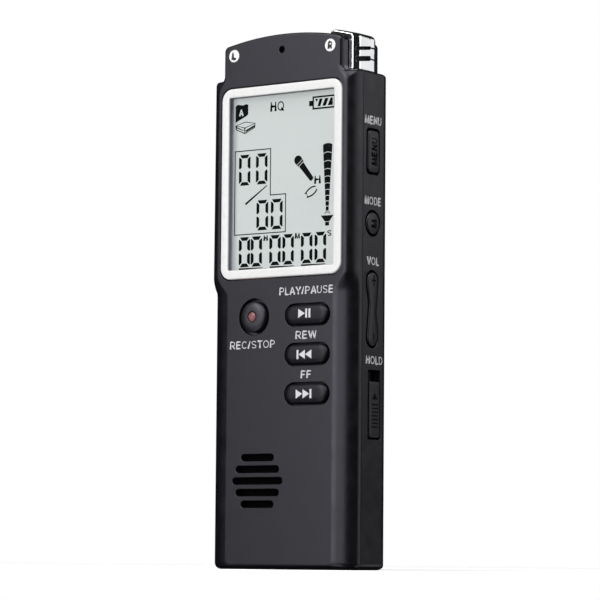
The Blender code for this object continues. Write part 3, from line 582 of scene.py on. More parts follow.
def lamp_material():
    """The small red lamp, unlit: a dull lens with a paler core."""
    s = Surface("indicator_red", (0.13, 0.045, 0.05), 0.34)
    s.tint(s.noise(0.5, 2.0), (0.10, 0.028, 0.030), (0.24, 0.085, 0.090), 0.35, 0.7)
    s.bump(s.noise(0.2, 2.0), 0.01)
    return s.material


# -------- lettering

LETTER_WIDTHS = {
    "A": 0.90, "C": 0.90, "D": 0.83, "E": 0.73, "F": 0.68, "H": 0.79, "L": 0.64, "M": 0.95, "N": 0.79,
    "O": 0.98, "P": 0.77, "Q": 0.98, "R": 0.84, "S": 0.79, "T": 0.80, "U": 0.79, "V": 0.88, "W": 1.26,
    "Y": 0.88, "/": 0.40,
}
LETTER_GAP = 0.24


def bow(cx, cz, rx, rz, start, end, steps):
    """Points of an elliptical arc."""
    return [(cx + rx * x, cz + rz * z) for x, z in arc(0, 0, 1, start, end, steps)]


def letter(character, t):
    """One capital, 1 high, in strokes t thick: its width, its open lines and its closed ones."""
    w, h, high = LETTER_WIDTHS[character], t / 2, 1 - t / 2
    middle, tips, peaks = w / 2, (h * 0.9, w - h * 0.9), (w / 2 - h * 0.35, w / 2 + h * 0.35)

    def curve(z, rz, start, end, steps):
        return bow(middle, z, middle - h, rz, start, end, steps)

    stem, right = [(h, 0), (h, 1)], [(w - h, 0), (w - h, 1)]
    bowl = bow(w * 0.56, (high + 0.46) / 2, w * 0.44 - h, (high - 0.46) / 2, 80, -80, 10)
    bowl = [(t, high), (w * 0.56, high), *bowl, (w * 0.56, 0.46), (t, 0.46)]
    ring = curve(0.5, 0.5 - h, 0, 345, 23)
    crossbar = [(w * 0.26, 0.33), (w * 0.74, 0.33)]
    zigzag = (tips[0], w * 0.265, middle, w * 0.735, tips[1])
    belly = bow(w * 0.45, 0.5, w * 0.55 - h, 0.5 - h, -84, 84, 14)
    lines = {
        "A": [[(tip, 0), (peak, 1)] for tip, peak in zip(tips, peaks)] + [crossbar],
        "C": [curve(0.5, 0.5 - h, 42, 318, 20)],
        "E": [stem, [(t, high), (w, high)], [(t, 0.52), (w * 0.94, 0.52)], [(t, h), (w, h)]],
        "F": [stem, [(t, high), (w, high)], [(t, 0.5), (w * 0.9, 0.5)]],
        "H": [stem, right, [(t, 0.52), (w - t, 0.52)]],
        "L": [stem, [(t, h), (w, h)]],
        "M": [stem, right, [(h * 1.3, 1), (middle, 0.06), (w - h * 1.3, 1)]],
        "N": [stem, right, [(h * 1.1, 1), (w - h * 1.1, 0)]],
        "P": [stem, bowl],
        "Q": [[(w * 0.58, 0.27), (w * 0.97, -0.02)]],
        "R": [stem, bowl, [(w * 0.52, 0.42), (tips[1], 0)]],
        "S": [curve(0.735, 0.265 - h, 28, 262, 16) + curve(0.26, 0.26 - h, 82, -155, 16)],
        "T": [[(0, high), (w, high)], [(middle, 0), (middle, 1 - t)]],
        "U": [[(h, 1), (h, 0.36), *curve(0.36, 0.36 - h, 190, 350, 12), (w - h, 0.36), (w - h, 1)]],
        "V": [[(tip, 1), (peak, 0)] for tip, peak in zip(tips, peaks)],
        "W": [[(x, z), (end, 1 - z)] for x, z, end in zip(zigzag, (1, 0, 1, 0), zigzag[1:])],
        "Y": [[(middle, 0), (middle, 0.43)]] + [[(tip, 1), (middle, 0.42)] for tip in tips],
        "/": [[(h * 0.5, 0), (w - h * 0.5, 1)]],
    }
    belly = [(h, h), (w * 0.45, h), *belly, (w * 0.45, high), (h, high)]
    loops = {"O": [ring], "Q": [ring], "D": [belly]}
    return w, lines.get(character, []), loops.get(character, [])


def lettering(body, width, capital, thick):
    """Capitals fitted to a width and a height, centred on both, as flat shapes in x and y."""
    shapes, x = [], 0.0
    for character, following in zip(body, body[1:] + " "):
        w, lines, loops = letter(character, thick)
        strokes = [stroke(line, thick) for line in lines] + [stroke(line, thick, True) for line in loops]
        shapes += [[(x + px, pz) for px, pz in shape] for shape in sum(strokes, [])]
        x += w + LETTER_GAP * (0.7 if character in "LTVAY" or following == "/" else 1.0)
    last = max(px for shape in shapes for px, _ in shape)
    scale = width / last
    return polygons(
        [[((px - last / 2) * scale, (pz - 0.5) * capital) for px, pz in shape] for shape in shapes]
    )


def polygons(shapes):
    """Flat faces from outlines, in x and y."""
    bm = bmesh.new()
    for outline in shapes:
        bm.faces.new([bm.verts.new((x, y, 0.0)) for x, y in outline])
    bmesh.ops.remove_doubles(bm, verts=bm.verts, dist=0.0002)
    bmesh.ops.recalc_face_normals(bm, faces=bm.faces)
    return bm


def thicken(bm, depth):
    """Gives flat faces a thickness, from z = 0 up to depth, as closed bodies."""
    for face in bm.faces:
        if face.normal.z > 0:
            face.normal_flip()
    lifted = bmesh.ops.extrude_face_region(bm, geom=bm.faces[:], use_keep_orig=True)
    top = [g for g in lifted["geom"] if isinstance(g, bmesh.types.BMVert)]
    bmesh.ops.translate(bm, verts=top, vec=(0, 0, depth))
    bmesh.ops.recalc_face_normals(bm, faces=bm.faces)


# Planes that print stands on: the directions of the text's right, its up and out of the surface.
FRONT = (Vector((1, 0, 0)), Vector((0, 0, 1)), Vector((0, -1, 0)))
RIGHT = (Vector((0, 1, 0)), Vector((0, 0, 1)), Vector((1, 0, 0)))
RIGHT_UPWARD = (Vector((0, 0, 1)), Vector((0, -1, 0)), Vector((1, 0, 0)))


def stand(bm, plane, centre):
    """Lifts flat shapes from x and y into that plane, their origin at centre."""
    placed = Matrix(plane).transposed().to_4x4()
    placed.translation = Vector(centre)
    bm.transform(placed)
    return bm


def printed(name, bm, plane, centre, material, body=ROOT, depth=PRINT_DEPTH, sink=0.01):
    """A print or an emboss: flat shapes made solid, a little sunk into what they stand on."""
    thicken(bm, depth + sink)
    out = plane[2]
    piece(name, stand(bm, plane, Vector(centre) - out * sink), material, body, sharp=40)


# -------- shells


def edge_profile():
    """The face's right edge in section, as shares of its way out and down, after a slight crease."""
    points, out, down = [(0.0, 0.0)], 0.0, 0.0
    for radius, start, end, steps in EDGE_ARCS:
        slopes = [math.radians(start + (end - start) * i / steps) for i in range(steps + 1)]
        run = [radius * (math.sin(slope) - math.sin(slopes[0])) for slope in slopes]
        fall = [radius * (math.cos(slopes[0]) - math.cos(slope)) for slope in slopes]
        points += [(out + across, down + deep) for across, deep in zip(run[1:], fall[1:])]
        out, down = out + run[-1], down + fall[-1]
    points.insert(1, (0.12, 0.017))
    return [(x / out, y / down) for x, y in points]


def full_profile(out, spread):
    """The left edge in section: the narrower the edge, the squarer its shoulder."""
    crease = 0.12
    fullness = 3.0 if spread < 0.9 else 2.85 + 3.1 * min(1.0, max(0.0, (3.6 - spread) / 2.0))
    return crease * out + (1 - crease) * (1 - max(0.0, 1 - out**fullness) ** (1 / fullness))


def dome(face, seam, face_y, seam_y, deepest, profile):
    """Rings from the flat face over its edge to the seam. The left edge is fuller than the right."""
    spreads = [math.hypot(sx - fx, sz - fz) for (fx, fz), (sx, sz) in zip(face, seam)]
    rings = []
    for out, down in profile:
        ring = []
        for (fx, fz), (sx, sz), spread in zip(face, seam, spreads):
            right = min(1.0, max(0.0, (fx + EDGE_BLEND) / (2 * EDGE_BLEND)))
            share = down * right + full_profile(out, spread) * (1 - right)
            drop = min(deepest, EDGE_STEEPNESS * spread) * share
            ring.append((fx + (sx - fx) * out, face_y + drop, fz + (sz - fz) * out))
        rings.append(ring)
    rings.append(ring_y(seam, seam_y))
    return rings


def round_rim(outline_at, level, towards, radius, reach, ring=ring_y):
    """A cutter whose mouth is rounded by radius where it meets the surface at level.

    towards is +1 where the cutter runs along its axis away from the mouth, -1 the other way."""
    rings = [ring(outline_at(radius + 0.5), level - towards * 0.5)]
    for away, down in quarter(4):
        rings.append(ring(outline_at(radius * away), level + towards * radius * down))
    rings.append(ring(outline_at(0.0), level + towards * reach))
    return loft(rings)


def mic_recesses(y0, y1):
    """Cutters for the two corners that the microphone caps fill."""
    blocks = []
    for side in (-1, 1):
        xs = sorted((side * (CAP_INNER_X - SEAM_GAP), side * (HALF_WIDTH + 1)))
        blocks.append(box((xs[0], y0, SHOULDER_Z), (xs[1], y1, HEIGHT + 3)))
    return join(*blocks)


def slot_outline(row, grow=0.0):
    z = SPEAKER[1] + (2 - row) * SLOT_PITCH
    height = SLOT_HEIGHT + 2 * grow
    return rounded_box(SPEAKER[0], z, SLOT_LENGTHS[row] + 2 * grow, height, height / 2 - 0.01, 8)


def front_shell():
    edge_y = SEAM_Y + SEAM_GAP / 2 - SEAM_SHOWN / 2
    profile, depth = edge_profile(), SEAM_Y - FACE_Y
    rings = dome(face_outline(), seam_outline(), FACE_Y, edge_y - SEAM_EDGE, depth, profile)
    rings.insert(0, ring_y(face_outline(0.25), FACE_Y))
    rings.append(ring_y(seam_outline(SEAM_EDGE), edge_y))
    inner, depth = profile[::4] + [(1.0, 1.0)], SEAM_Y - INNER_FACE_Y
    cavity = dome(face_outline(0.6), seam_outline(WALL), INNER_FACE_Y, SEAM_Y + 1.0, depth, inner)
    holes = []

    def face_hole(outline_at, radius, reach=2.0):
        holes.append(round_rim(outline_at, FACE_Y, 1, radius, reach))

    size = [side + 2 * SEAM_GAP for side in FRAME_SIZE]
    face_hole(lambda grow: around_display(size, grow, FRAME_RADIUS, 8), 0.1, SEAM_Y + 2 - FACE_Y)
    for row in range(3):
        face_hole(lambda grow: oval(OVAL_TOP_Z - row * OVAL_PITCH, KEY_GAP + grow), 0.06)
    face_hole(lambda grow: circle(*REC_CENTRE, REC_RADIUS + KEY_GAP + REC_RELIEF + grow, 64), 0.08)
    for row in range(len(SLOT_LENGTHS)):
        face_hole(lambda grow: slot_outline(row, grow), 0.12)
    face_hole(lambda grow: circle(0, PINHOLE_Z, PINHOLE_RADIUS + grow, 32), 0.12)
    recess = mic_recesses(CAP_FRONT_Y - SEAM_GAP, SEAM_Y + 1)
    piece("front_shell_skin", loft(rings), SHELL, cuts=(loft(cavity), join(*holes), recess),
          replaces=("front_shell",), sharp=28, even=True)


def tub(inset, front_y, flat_y, rounding, foot_rounding, steps, head_rounding):
    """Rings of the rear shell, from its front edge round its back edge."""
    rings = [ring_y(seam_outline(inset), front_y)]
    for away, pulled in quarter(steps):
        outline = seam_outline(*(inset + r * pulled for r in (rounding, foot_rounding, head_rounding)))
        rings.append(ring_y(outline, flat_y - rounding * away))
    return rings


def side_outlines():
    """The side keys' windows, each as a function of how far it grows."""

    def menu(grow):
        return rounded_box(SIDE_Y, MENU_Z, *(s + 2 * SIDE_GAP + 2 * grow for s in MENU_SIZE), 0.9 + grow)

    def mode(grow):
        return circle(SIDE_Y, MODE_Z, MODE_RADIUS + SIDE_GAP + grow, 48)

    def volume(grow):
        return volume_outline(SIDE_GAP + grow)

    def hold(grow):
        height = HOLD_SIZE[1] + HOLD_TRAVEL + 2 * SIDE_GAP + 2 * grow
        width = HOLD_SIZE[0] + 2 * SIDE_GAP + 2 * grow
        return rounded_box(HOLD_Y, HOLD_Z + HOLD_TRAVEL / 2, width, height, 0.3 + grow, 5)

    return menu, mode, volume, hold


def rear_shell():
    edge_y = SEAM_Y + SEAM_GAP / 2 + SEAM_SHOWN / 2
    rings = tub(0.0, edge_y + SEAM_EDGE, BACK_Y, BACK_ROUNDING, FOOT_ROUNDING, 12, HEAD_ROUNDING)
    rings.insert(0, ring_y(seam_outline(SEAM_EDGE), edge_y))
    insets = [rounding + 0.25 for rounding in (BACK_ROUNDING, FOOT_ROUNDING, HEAD_ROUNDING)]
    rings.append(ring_y(seam_outline(*insets), BACK_Y))
    cavity = tub(WALL, SEAM_Y - 1, INNER_BACK_Y, BACK_ROUNDING - WALL + 0.5, 1.0, 4, 0.8)
    reach = WALL + 0.6
    holes = [round_rim(outline, HALF_WIDTH, -1, 0.15, reach, ring_x) for outline in side_outlines()]
    for x in (-JACK_X, JACK_X):
        top = crown_z(JACK_X)
        holes.append(prism(circle(x, JACK_Y, JACK_HOLE_RADIUS), top - 3.0, top + 1, ring_z))

    def usb(grow):
        return rounded_box(USB_Y, USB_Z, *(s + 2 * grow for s in USB_SIZE), USB_RADIUS + grow, 4)

    def reset(grow):
        return circle(USB_Y, RESET_Z, RESET_RADIUS + grow, 24)

    for outline, radius in ((usb, 0.12), (reset, 0.1)):
        holes.append(round_rim(outline, -HALF_WIDTH, 1, radius, reach, ring_x))
    for x, z in SCREWS:
        hole = round_rim(lambda grow: circle(x, z, SCREW_HOLE_RADIUS + grow, 32), BACK_Y, -1, 0.12, 1.9)
        holes.append(hole)
    label = rounded_box(0, LABEL_Z, *LABEL_SIZE, 1.0, 6)
    holes.append(prism(label, BACK_Y - LABEL_DEPTH, BACK_Y + 1))
    recess = mic_recesses(SEAM_Y - 1, CAP_BACK_Y + SEAM_GAP)
    piece("rear_shell_skin", loft(rings), SHELL, cuts=(loft(cavity), join(*holes), recess),
          replaces=("rear_shell",), sharp=28, even=True)
    for number, screw in enumerate(SCREWS, 1):
        seat = prism(circle(*screw, SCREW_SEAT_RADIUS, 32), BACK_Y - 2.2, BACK_Y - 1.2)
        bore = prism(circle(*screw, SCREW_BORE_RADIUS, 32), BACK_Y - 3, BACK_Y)
        piece(f"screw_seat_{number}", seat, SHELL, cuts=(bore,))


# -------- display


def seven_zero(x0, z0, width, height, t):
    """The six lit segments of a seven-segment zero, t thick."""
    x1, z1, middle, gap = x0 + width, z0 + height, z0 + height / 2, 0.06
    upright = [(x0, z1 - 0.48), (x0 + t * 0.3, z1 - 0.45), (x0 + t, z1 - t - 0.2),
               (x0 + t, middle + 0.62), (x0 + t * 0.4, middle + 0.2), (x0, middle + 0.34)]
    top = [(x0 + 0.26, z1), (x1 - 0.26, z1), (x1 - gap - t, z1 - t), (x0 + gap + t, z1 - t)]
    shapes = [top, [(x, 2 * middle - z) for x, z in top]]
    for points in (upright, [(x0 + x1 - x, z) for x, z in upright]):
        shapes += [points, [(x, 2 * middle - z) for x, z in points]]
    return shapes


def turned(points, cx, cz, degrees):
    c, s = math.cos(math.radians(degrees)), math.sin(math.radians(degrees))
    return [(cx + x * c - z * s, cz + x * s + z * c) for x, z in points]


def digits_ink():
    shapes = []
    for x, pitch in ((-10.95, 2.87), (-3.63, 3.1), (3.82, 3.2)):
        for place in range(2):
            shapes += seven_zero(x + pitch * place, 57.8, 2.7, 5.8, 0.7)
    for place in range(2):
        shapes += seven_zero(-11.1 + 4.1 * place, 73.62, 2.75, 5.95, 0.66)
        shapes += seven_zero(-6.78 + 3.42 * place, 64.72, 2.8, 5.8, 0.66)
    return shapes


def lines_ink():
    left, step, right, top, shelf, bottom = -12.05, -3.52, 0.13, 80.33, 71.38, 64.1
    outline = [(left, top), (step, top), (step, shelf), (right, shelf), (right, bottom), (left, bottom)]
    shapes = stroke(outline, 0.19, True)
    shapes += stroke([(-9.45, 69.95), (-4.3, 73.3)], 0.17)
    for x in (-10.9, -3.5, 3.9):
        shapes += stroke([(x, 57.48), (x + 5.7, 57.48)], 0.13)
    return shapes


def battery_ink():
    x0, x1, z0, z1 = 6.45, 11.42, 87.2, 89.4
    low, high = z0 + 0.38, z1 - 0.38
    shapes = stroke(rectangle(x0, z0, x1, z1), 0.32, True)
    shapes.append(rectangle(5.5, 87.75, x0 - 0.02, 88.75))
    bars = ((7.47, 8.12, 7.94, 8.64), (8.59, 9.37, 9.24, 10.02), (9.83, 11.02, 10.53, 10.98))
    for left, right, top_left, top_right in bars:
        shapes.append([(left, low), (right, low), (top_right, high), (top_left, high)])
    shapes.append([(7.22, high - 0.5), (7.3, high - 0.5), (7.58, high), (6.9, high)])
    return shapes


def microphone_ink():
    """A hand microphone, tilted, with its head up and to the left."""
    cx, cz, tilt = 3.02, 77.62, -50
    head = arc(0, 0, 0.9, 72, 288, 18)
    band = [(0.62, -0.86), (0.98, -0.8), (0.98, 0.8), (0.62, 0.86)]
    handle = [(1.12, -0.64), (5.0, -0.48), (5.2, -0.3), (5.2, 0.3), (5.0, 0.48), (1.12, 0.64)]
    collar = [(0.5, -0.84), (0.5, 0.84), (0.3, 0.86), (0.3, -0.86)]
    return [turned(shape, cx, cz, tilt) for shape in (head, collar, band, handle)]


def column_ink():
    """The level column: ten blocks with arched tops that narrow and shorten downwards."""
    centre, top, bottom, pitch, gap = 9.9, 80.1, 67.45, 1.73, 0.13

    def arch(z):
        half = 0.3 + 0.8 * (z - bottom) / (top - bottom)
        return [(centre + half * i / 4, z + 0.27 * half * (1 - (i / 4) ** 2)) for i in range(-4, 5)]

    shapes, z = [], top
    for _ in range(10):
        shapes.append(arch(z) + arch(z - pitch + gap)[::-1])
        z, pitch = z - pitch, pitch * 0.93
    shapes.append([(8.42, 66.65), (9.4, 65.5), (10.4, 65.5), (11.36, 66.65)])
    shapes.append(rectangle(9.45, 64.7, 10.35, 65.4))
    shapes += stroke(arc(centre, 66.2, 1.0, 50, 130, 8), 0.09)
    shapes += stroke(arc(centre, 66.1, 1.3, 62, 118, 8), 0.07)
    return shapes


def leaf_ink():
    """A tilted ring, open at both tips."""
    shapes, shares = [], [-0.94 + 1.88 * i / 12 for i in range(13)]
    for side in (1, -1):
        edge = [(1.42 * share, side * (0.08 + 0.62 * (1 - share * share) ** 0.5)) for share in shares]
        shapes += stroke(turned(edge, 6.15, 71.4, 30), 0.26)
    return shapes


def flag_ink():
    return [[(-12.05, 86.0), (-9.55, 87.05), (-9.0, 87.4), (-9.0, 89.25), (-9.5, 89.45), (-10.2, 89.25),
             (-10.9, 89.35), (-11.5, 89.5), (-12.05, 89.15)]]


def book_ink():
    left, back, right, front = (-11.85, 85.4), (-9.65, 85.95), (-7.35, 85.55), (-9.8, 84.8)
    low_left, low_front, low_right = (-11.85, 84.6), (-9.75, 83.72), (-7.4, 84.75)
    shapes = stroke([left, back, right, front], 0.15, True)
    shapes += stroke([left, low_left, low_front, low_right, right], 0.17)
    shapes += stroke([front, low_front], 0.12)
    shapes.append([(-9.5, 84.38), (-7.5, 85.2), (-7.5, 84.86), (-9.5, 84.0)])
    shapes += stroke([(-11.65, 84.98), (-9.95, 84.25)], 0.1)
    return shapes


def opening(grow):
    return around_display(GLASS_OPENING, grow, 0.3, 5)


def display_surround():
    """The white frame, a dark liner of painted shade on its inner wall, and the spacer between window
    and panel, whose blue-grey is partly painted shade.
    """
    front = FACE_Y - FRAME_PROUD
    rings = [ring_y(around_display(FRAME_SIZE, -0.5, FRAME_RADIUS), front)]
    for away, down in quarter(6):
        outline = around_display(FRAME_SIZE, -FRAME_ROUNDING * away, FRAME_RADIUS)
        rings.append(ring_y(outline, front + FRAME_ROUNDING * down))
    rings.append(ring_y(around_display(FRAME_SIZE, 0, FRAME_RADIUS), WINDOW_BACK_Y + 0.1))
    mouth = round_rim(opening, front, 1, 0.14, 3.0)
    rebate = prism(around_display(REBATE_SIZE, 0, 0.5, 4), WINDOW_FRONT_Y - 0.02, -4)
    piece("display_frame", loft(rings), FRAME, cuts=(mouth, rebate), replaces=("lcd_bezel",))
    # The liner is a sheet of painted shade over the frame's inner wall.
    tube = prism(opening(0.05), front + 0.3, WINDOW_FRONT_Y - 0.01)
    bore = prism(opening(-0.08), front - 1, -4)
    piece("display_liner_painted_shade", tube, LINER_PAINTED_SHADE, cuts=(bore,))
    low, high = WINDOW_BACK_Y + 0.02, PANEL_FRONT_Y - INK_DEPTH - 0.02
    # The spacer's blue-grey is partly painted shade of the recess wall.
    spacer = prism(around_display(SPACER_SIZE, 0, 0.4, 4), low, high)
    hole = prism(opening(0.0), low - 1, high + 1)
    piece("display_spacer", spacer, SPACER_AND_SHADE, cuts=(hole,))


def display_ink():
    """What the display shows: shapes, then letters with their width, height, place and thickness."""
    icons = battery_ink() + microphone_ink() + column_ink() + leaf_ink() + flag_ink()
    drawn = {"digits": digits_ink(), "lines": lines_ink(), "icons": icons, "book": book_ink()}
    for name, shapes in drawn.items():
        printed(f"display_{name}", polygons(shapes), FRONT, (0, PANEL_FRONT_Y, 0), INK, **INK_PRINT)
    for name, body, width, capital, x, z, bold in (
        ("quality", "HQ", 3.15, 1.85, -2.0, 88.4, 0.13), ("unit", "H", 1.45, 1.55, 7.66, 73.6, 0.125),
        ("hours", "H", 1.0, 1.05, -4.45, 63.15, 0.17), ("minutes", "M", 1.12, 1.05, 3.03, 63.15, 0.14),
        ("seconds", "S", 1.0, 1.08, 10.45, 63.25, 0.17),
    ):
        text = lettering(body, width, capital, bold)
        printed(f"display_{name}", text, FRONT, (x, PANEL_FRONT_Y, z), INK, **INK_PRINT)
    on_flag = (-10.6, PANEL_FRONT_Y - INK_DEPTH, 87.85)
    printed("display_flag_letter", lettering("A", 1.0, 1.3, 0.14), FRONT, on_flag, KNOCK_OUT, depth=0.02,
            sink=0.0)


# -------- keys


def cap_rings(outline_at, crown_inset, steps=10):
    """A soft cap on a flange: its top swells from the rim over crown_inset."""
    rings = []
    for i in range(steps + 1):
        share = 1 - i / steps
        inset = crown_inset * share
        lift = KEY_PROUD * math.sqrt(max(0.0, 1 - (1 - share) ** 3.0))
        rings.append(ring_y(outline_at(-inset), FACE_Y - lift))
    flange = ((0.0, KEY_BASE_Y - 0.2), (0.6, KEY_BASE_Y - 0.2), (0.6, KEY_BASE_Y))
    return rings + [ring_y(outline_at(grow), y) for grow, y in flange]


def key_cap(name, rings, material, node=None, cuts=()):
    """The cap of a key, in place of its CAD button."""
    node = node or f"{name}_button"
    piece(f"{name}_cap", loft(rings), material, f"{name}_key", cuts, replaces=(node,),
          sharp=50)


def front_keys():
    top_y, half = FACE_Y - KEY_PROUD, 0.86

    def triangle(base, tip):
        return [(base, -half), (tip, 0.0), (base, half)]

    def bar(x0, x1):
        return rectangle(x0, -half, x1, half)

    icons = (
        ("play", 0.2, [triangle(-1.42, 0.12), bar(0.22, 0.66), bar(0.98, 1.42)]),
        ("rewind", -0.08, [bar(-1.72, -1.28), triangle(0.2, -1.24), triangle(1.72, 0.28)]),
        ("forward", -0.06, [triangle(-1.85, -0.35), triangle(-0.25, 1.25), bar(1.36, 1.8)]),
    )
    for row, (name, lift, shapes) in enumerate(icons):
        z = OVAL_TOP_Z - row * OVAL_PITCH
        key_cap(name, cap_rings(lambda grow: oval(z, grow), 1.55), KEY)
        centre, body = (OVAL_X - 0.15, top_y, z + lift), f"{name}_key"
        printed(f"{name}_icon", polygons(shapes), FRONT, centre, ICON, body, depth=0.015, sink=0.15)
    x, z = REC_CENTRE
    rings = cap_rings(lambda grow: circle(x, z, REC_RADIUS - 0.1 + grow, 64), 1.95, 12)
    well = round_rim(lambda grow: circle(x, z, INDICATOR_RADIUS + 0.12 + grow, 40), top_y, 1, 0.15, 0.7)
    key_cap("rec", rings, RECORD_KEY, cuts=(well,))
    lamp = [ring_y(circle(x, z, INDICATOR_RADIUS, 40), top_y + 0.6)]
    for i in range(7):
        angle = math.radians(78 * i / 6)
        lens = circle(x, z, INDICATOR_RADIUS * math.cos(angle), 40)
        lamp.append(ring_y(lens, top_y + 0.14 - 0.14 * math.sin(angle)))
    piece("rec_lamp", loft(lamp), lamp_material(), "rec_key", replaces=("rec_indicator",),
          sharp=50)


def side_cap_rings(outline_at, proud, inner_x, soft=0.3, crown=0.07):
    """A side key: a nearly flat top, a soft edge and a straight wall."""
    outer = HALF_WIDTH + proud
    rings = [ring_x(outline_at(-soft - 0.55), outer)]
    for away, down in quarter(6):
        rings.append(ring_x(outline_at(-soft * away), outer - crown - (soft - crown) * down))
    rings.append(ring_x(outline_at(0.0), inner_x))
    return rings


def side_keys():
    inner = HALF_WIDTH - WALL - SWING
    raised = HALF_WIDTH + SIDE_PROUD

    def menu(grow):
        return rounded_box(SIDE_Y, MENU_Z, *(s + 2 * grow for s in MENU_SIZE), 0.9 + min(grow, 0))

    def mode(grow):
        return circle(SIDE_Y, MODE_Z, MODE_RADIUS + grow, 48)

    for name, outline, soft, text, width, capital, z in (
        ("menu", menu, 0.3, "MENU", 5.1, 1.75, MENU_Z), ("mode", mode, 0.35, "M", 1.6, 1.7, MODE_Z),
    ):
        key_cap(name, side_cap_rings(outline, SIDE_PROUD, inner, soft), SIDE_KEY)
        mark, centre = lettering(text, width, capital, 0.16), (raised, SIDE_Y, z)
        printed(f"{name}_mark", mark, RIGHT_UPWARD, centre, MARK, f"{name}_key", **MARK_PRINT)
    key_cap("volume", side_cap_rings(volume_outline, SIDE_PROUD, inner), SIDE_KEY, "volume_rocker")
    plus = [rectangle(-0.75, -0.16, 0.75, 0.16), rectangle(-0.16, 0.18, 0.16, 1.0),
            rectangle(-0.16, -1.0, 0.16, -0.18)]
    minus = [rectangle(-0.15, -0.55, 0.15, 0.55)]
    for name, shapes, z in (("plus", plus, VOLUME_Z + 5.4), ("minus", minus, VOLUME_Z - 5.1)):
        printed(f"volume_{name}", polygons(shapes), RIGHT, (raised, SIDE_Y + 0.1, z), MARK, "volume_key",
                **MARK_PRINT)

    def hold(grow):
        return rounded_box(HOLD_Y, HOLD_Z, *(s + 2 * grow for s in HOLD_SIZE), 0.35)

    rings = side_cap_rings(hold, HOLD_PROUD, inner, 0.14, 0.02)
    flange = rounded_box(HOLD_Y, HOLD_Z, HOLD_SIZE[0] + 1.2, HOLD_SIZE[1] + 4.6, 0.3, 3)
    flange = prism(flange, HALF_WIDTH - WALL - 0.25, HALF_WIDTH - WALL - 0.7, ring_x)
    piece("hold_knob_cap", loft(rings), SIDE_KEY, "hold_knob", joins=(flange,),
          replaces=("hold_slider",), sharp=40)
    grip = [[(-0.9, 1.9), (0.9, 1.9), (0.0, 3.2)]]
    grip += [rectangle(-0.95, z, 0.95, z + 0.26) for z in (-3.4, -2.7, -2.0, -1.3, -0.6, 0.1, 0.8)]
    centre = (HALF_WIDTH + HOLD_PROUD, HOLD_Y, HOLD_Z)
    printed("hold_grip", polygons(grip), RIGHT, centre, MARK, "hold_knob", **MARK_PRINT)


# -------- microphones, sockets, speaker


def cap_outline(side, inset, lowered=None):
    """A microphone cap from the front. side is +1 for the right one."""
    inner, outer = CAP_INNER_X + inset, CAP_OUTER_X - inset
    crown, radius = CAP_CROWN - (inset if lowered is None else lowered), max(1.0 - inset * 0.5, 0.3)
    right = arc(outer - radius, crown_z(outer - radius, crown) - radius, radius, 0, 77, 10)
    run = [outer - radius - (outer - inner - 2 * radius) * i / 10 for i in range(1, 10)]
    left = arc(inner + radius, crown_z(inner + radius, crown) - radius, radius, 98, 180, 10)
    top = right + [(x, crown_z(x, crown)) for x in run] + left
    if side > 0:
        top = [(x, z + CAP_LIFT + CAP_SLOPE * (CAP_OUTER_X - x)) for x, z in top]
    return [(side * x, z) for x, z in [(inner, CAP_FOOT_Z), (outer, CAP_FOOT_Z), *top]]


def louvre(side, z, half, drift):
    """A slot across the cap's outer side, in two straight runs: a wide one and a narrow tail."""
    start, bend, end = CAP_FRONT_Y + 0.62, LOUVRE_BEND_Y, CAP_BACK_Y - 0.4
    z_bend = z + LOUVRE_SLOPE * (bend - start)
    inside, outside = side * (CAP_OUTER_X - CAP_WALL - 0.3), side * (CAP_OUTER_X + 1)
    cutters = []
    for y0, y1, z0, z1, reach in (
        (start, bend, z, z_bend, half), (bend - 0.05, end, z_bend + drift, z_bend + 2.2 * drift, 0.13),
    ):
        outline = [(y0, z0 - reach), (y1, z1 - reach), (y1, z1 + reach), (y0, z0 + reach)]
        cutters.append(prism(outline, inside, outside, ring_x))
    return cutters


def mic_cap(name, side):
    """A chrome cap: a bevelled front, crisp corners and two louvre slots across its outer side."""
    front = ((1.0, 0.0), (0.86, 0.0), (0.68, 0.02), (0.62, 0.06), (0.13, 1.2), (0.05, 1.5), (0.0, 2.1))
    back = ((0.0, 1.3), (0.1, 0.8), (0.36, 0.36), (0.75, 0.08), (1.15, 0.0))
    rings = [ring_y(cap_outline(side, inset, inset * 0.6), CAP_FRONT_Y + down) for inset, down in front]
    rings += [ring_y(cap_outline(side, inset), CAP_BACK_Y - down) for inset, down in back]
    xs = sorted((side * (CAP_INNER_X + CAP_WALL), side * (CAP_OUTER_X - CAP_WALL)))
    y0, y1, ceiling = CAP_FRONT_Y + CAP_WALL, CAP_BACK_Y - CAP_WALL, 100.0
    hollow = box((xs[0], y0, CAP_FOOT_Z - 1), (xs[1], y1, ceiling))
    slots = louvre(side, 98.2, 0.33, 0.02) + louvre(side, 96.2, 0.47, -0.1)
    piece(f"{name}_chrome", loft(rings), CHROME, cuts=(hollow, *slots), bevel=0.1,
          replaces=(f"{name}_mic_cap",), sharp=20, even=True)
    gasket = prism(cap_outline(side, 0.9, 0.52), CAP_FRONT_Y - 0.06, CAP_FRONT_Y + 0.3)
    below = box((-20, CAP_FRONT_Y - 1, 90), (20, CAP_FRONT_Y + 1, ceiling))
    piece(f"{name}_cap_gasket", gasket, GASKET, cuts=(below,))
    gauze = rounded_box((y0 + y1) / 2, 97.2, y1 - y0 - 0.3, 5.2, 0.3, 3)
    piece(f"{name}_gauze", prism(gauze, side * 14.45, side * 14.65, ring_x), GAUZE)


def turned_tube(x, profile):
    """A tube about a socket's axis: its section as radii and depths below the top."""
    rings = [ring_z(circle(x, JACK_Y, radius), JACK_TOP - down) for radius, down in profile]
    return loft(rings, endless=True)


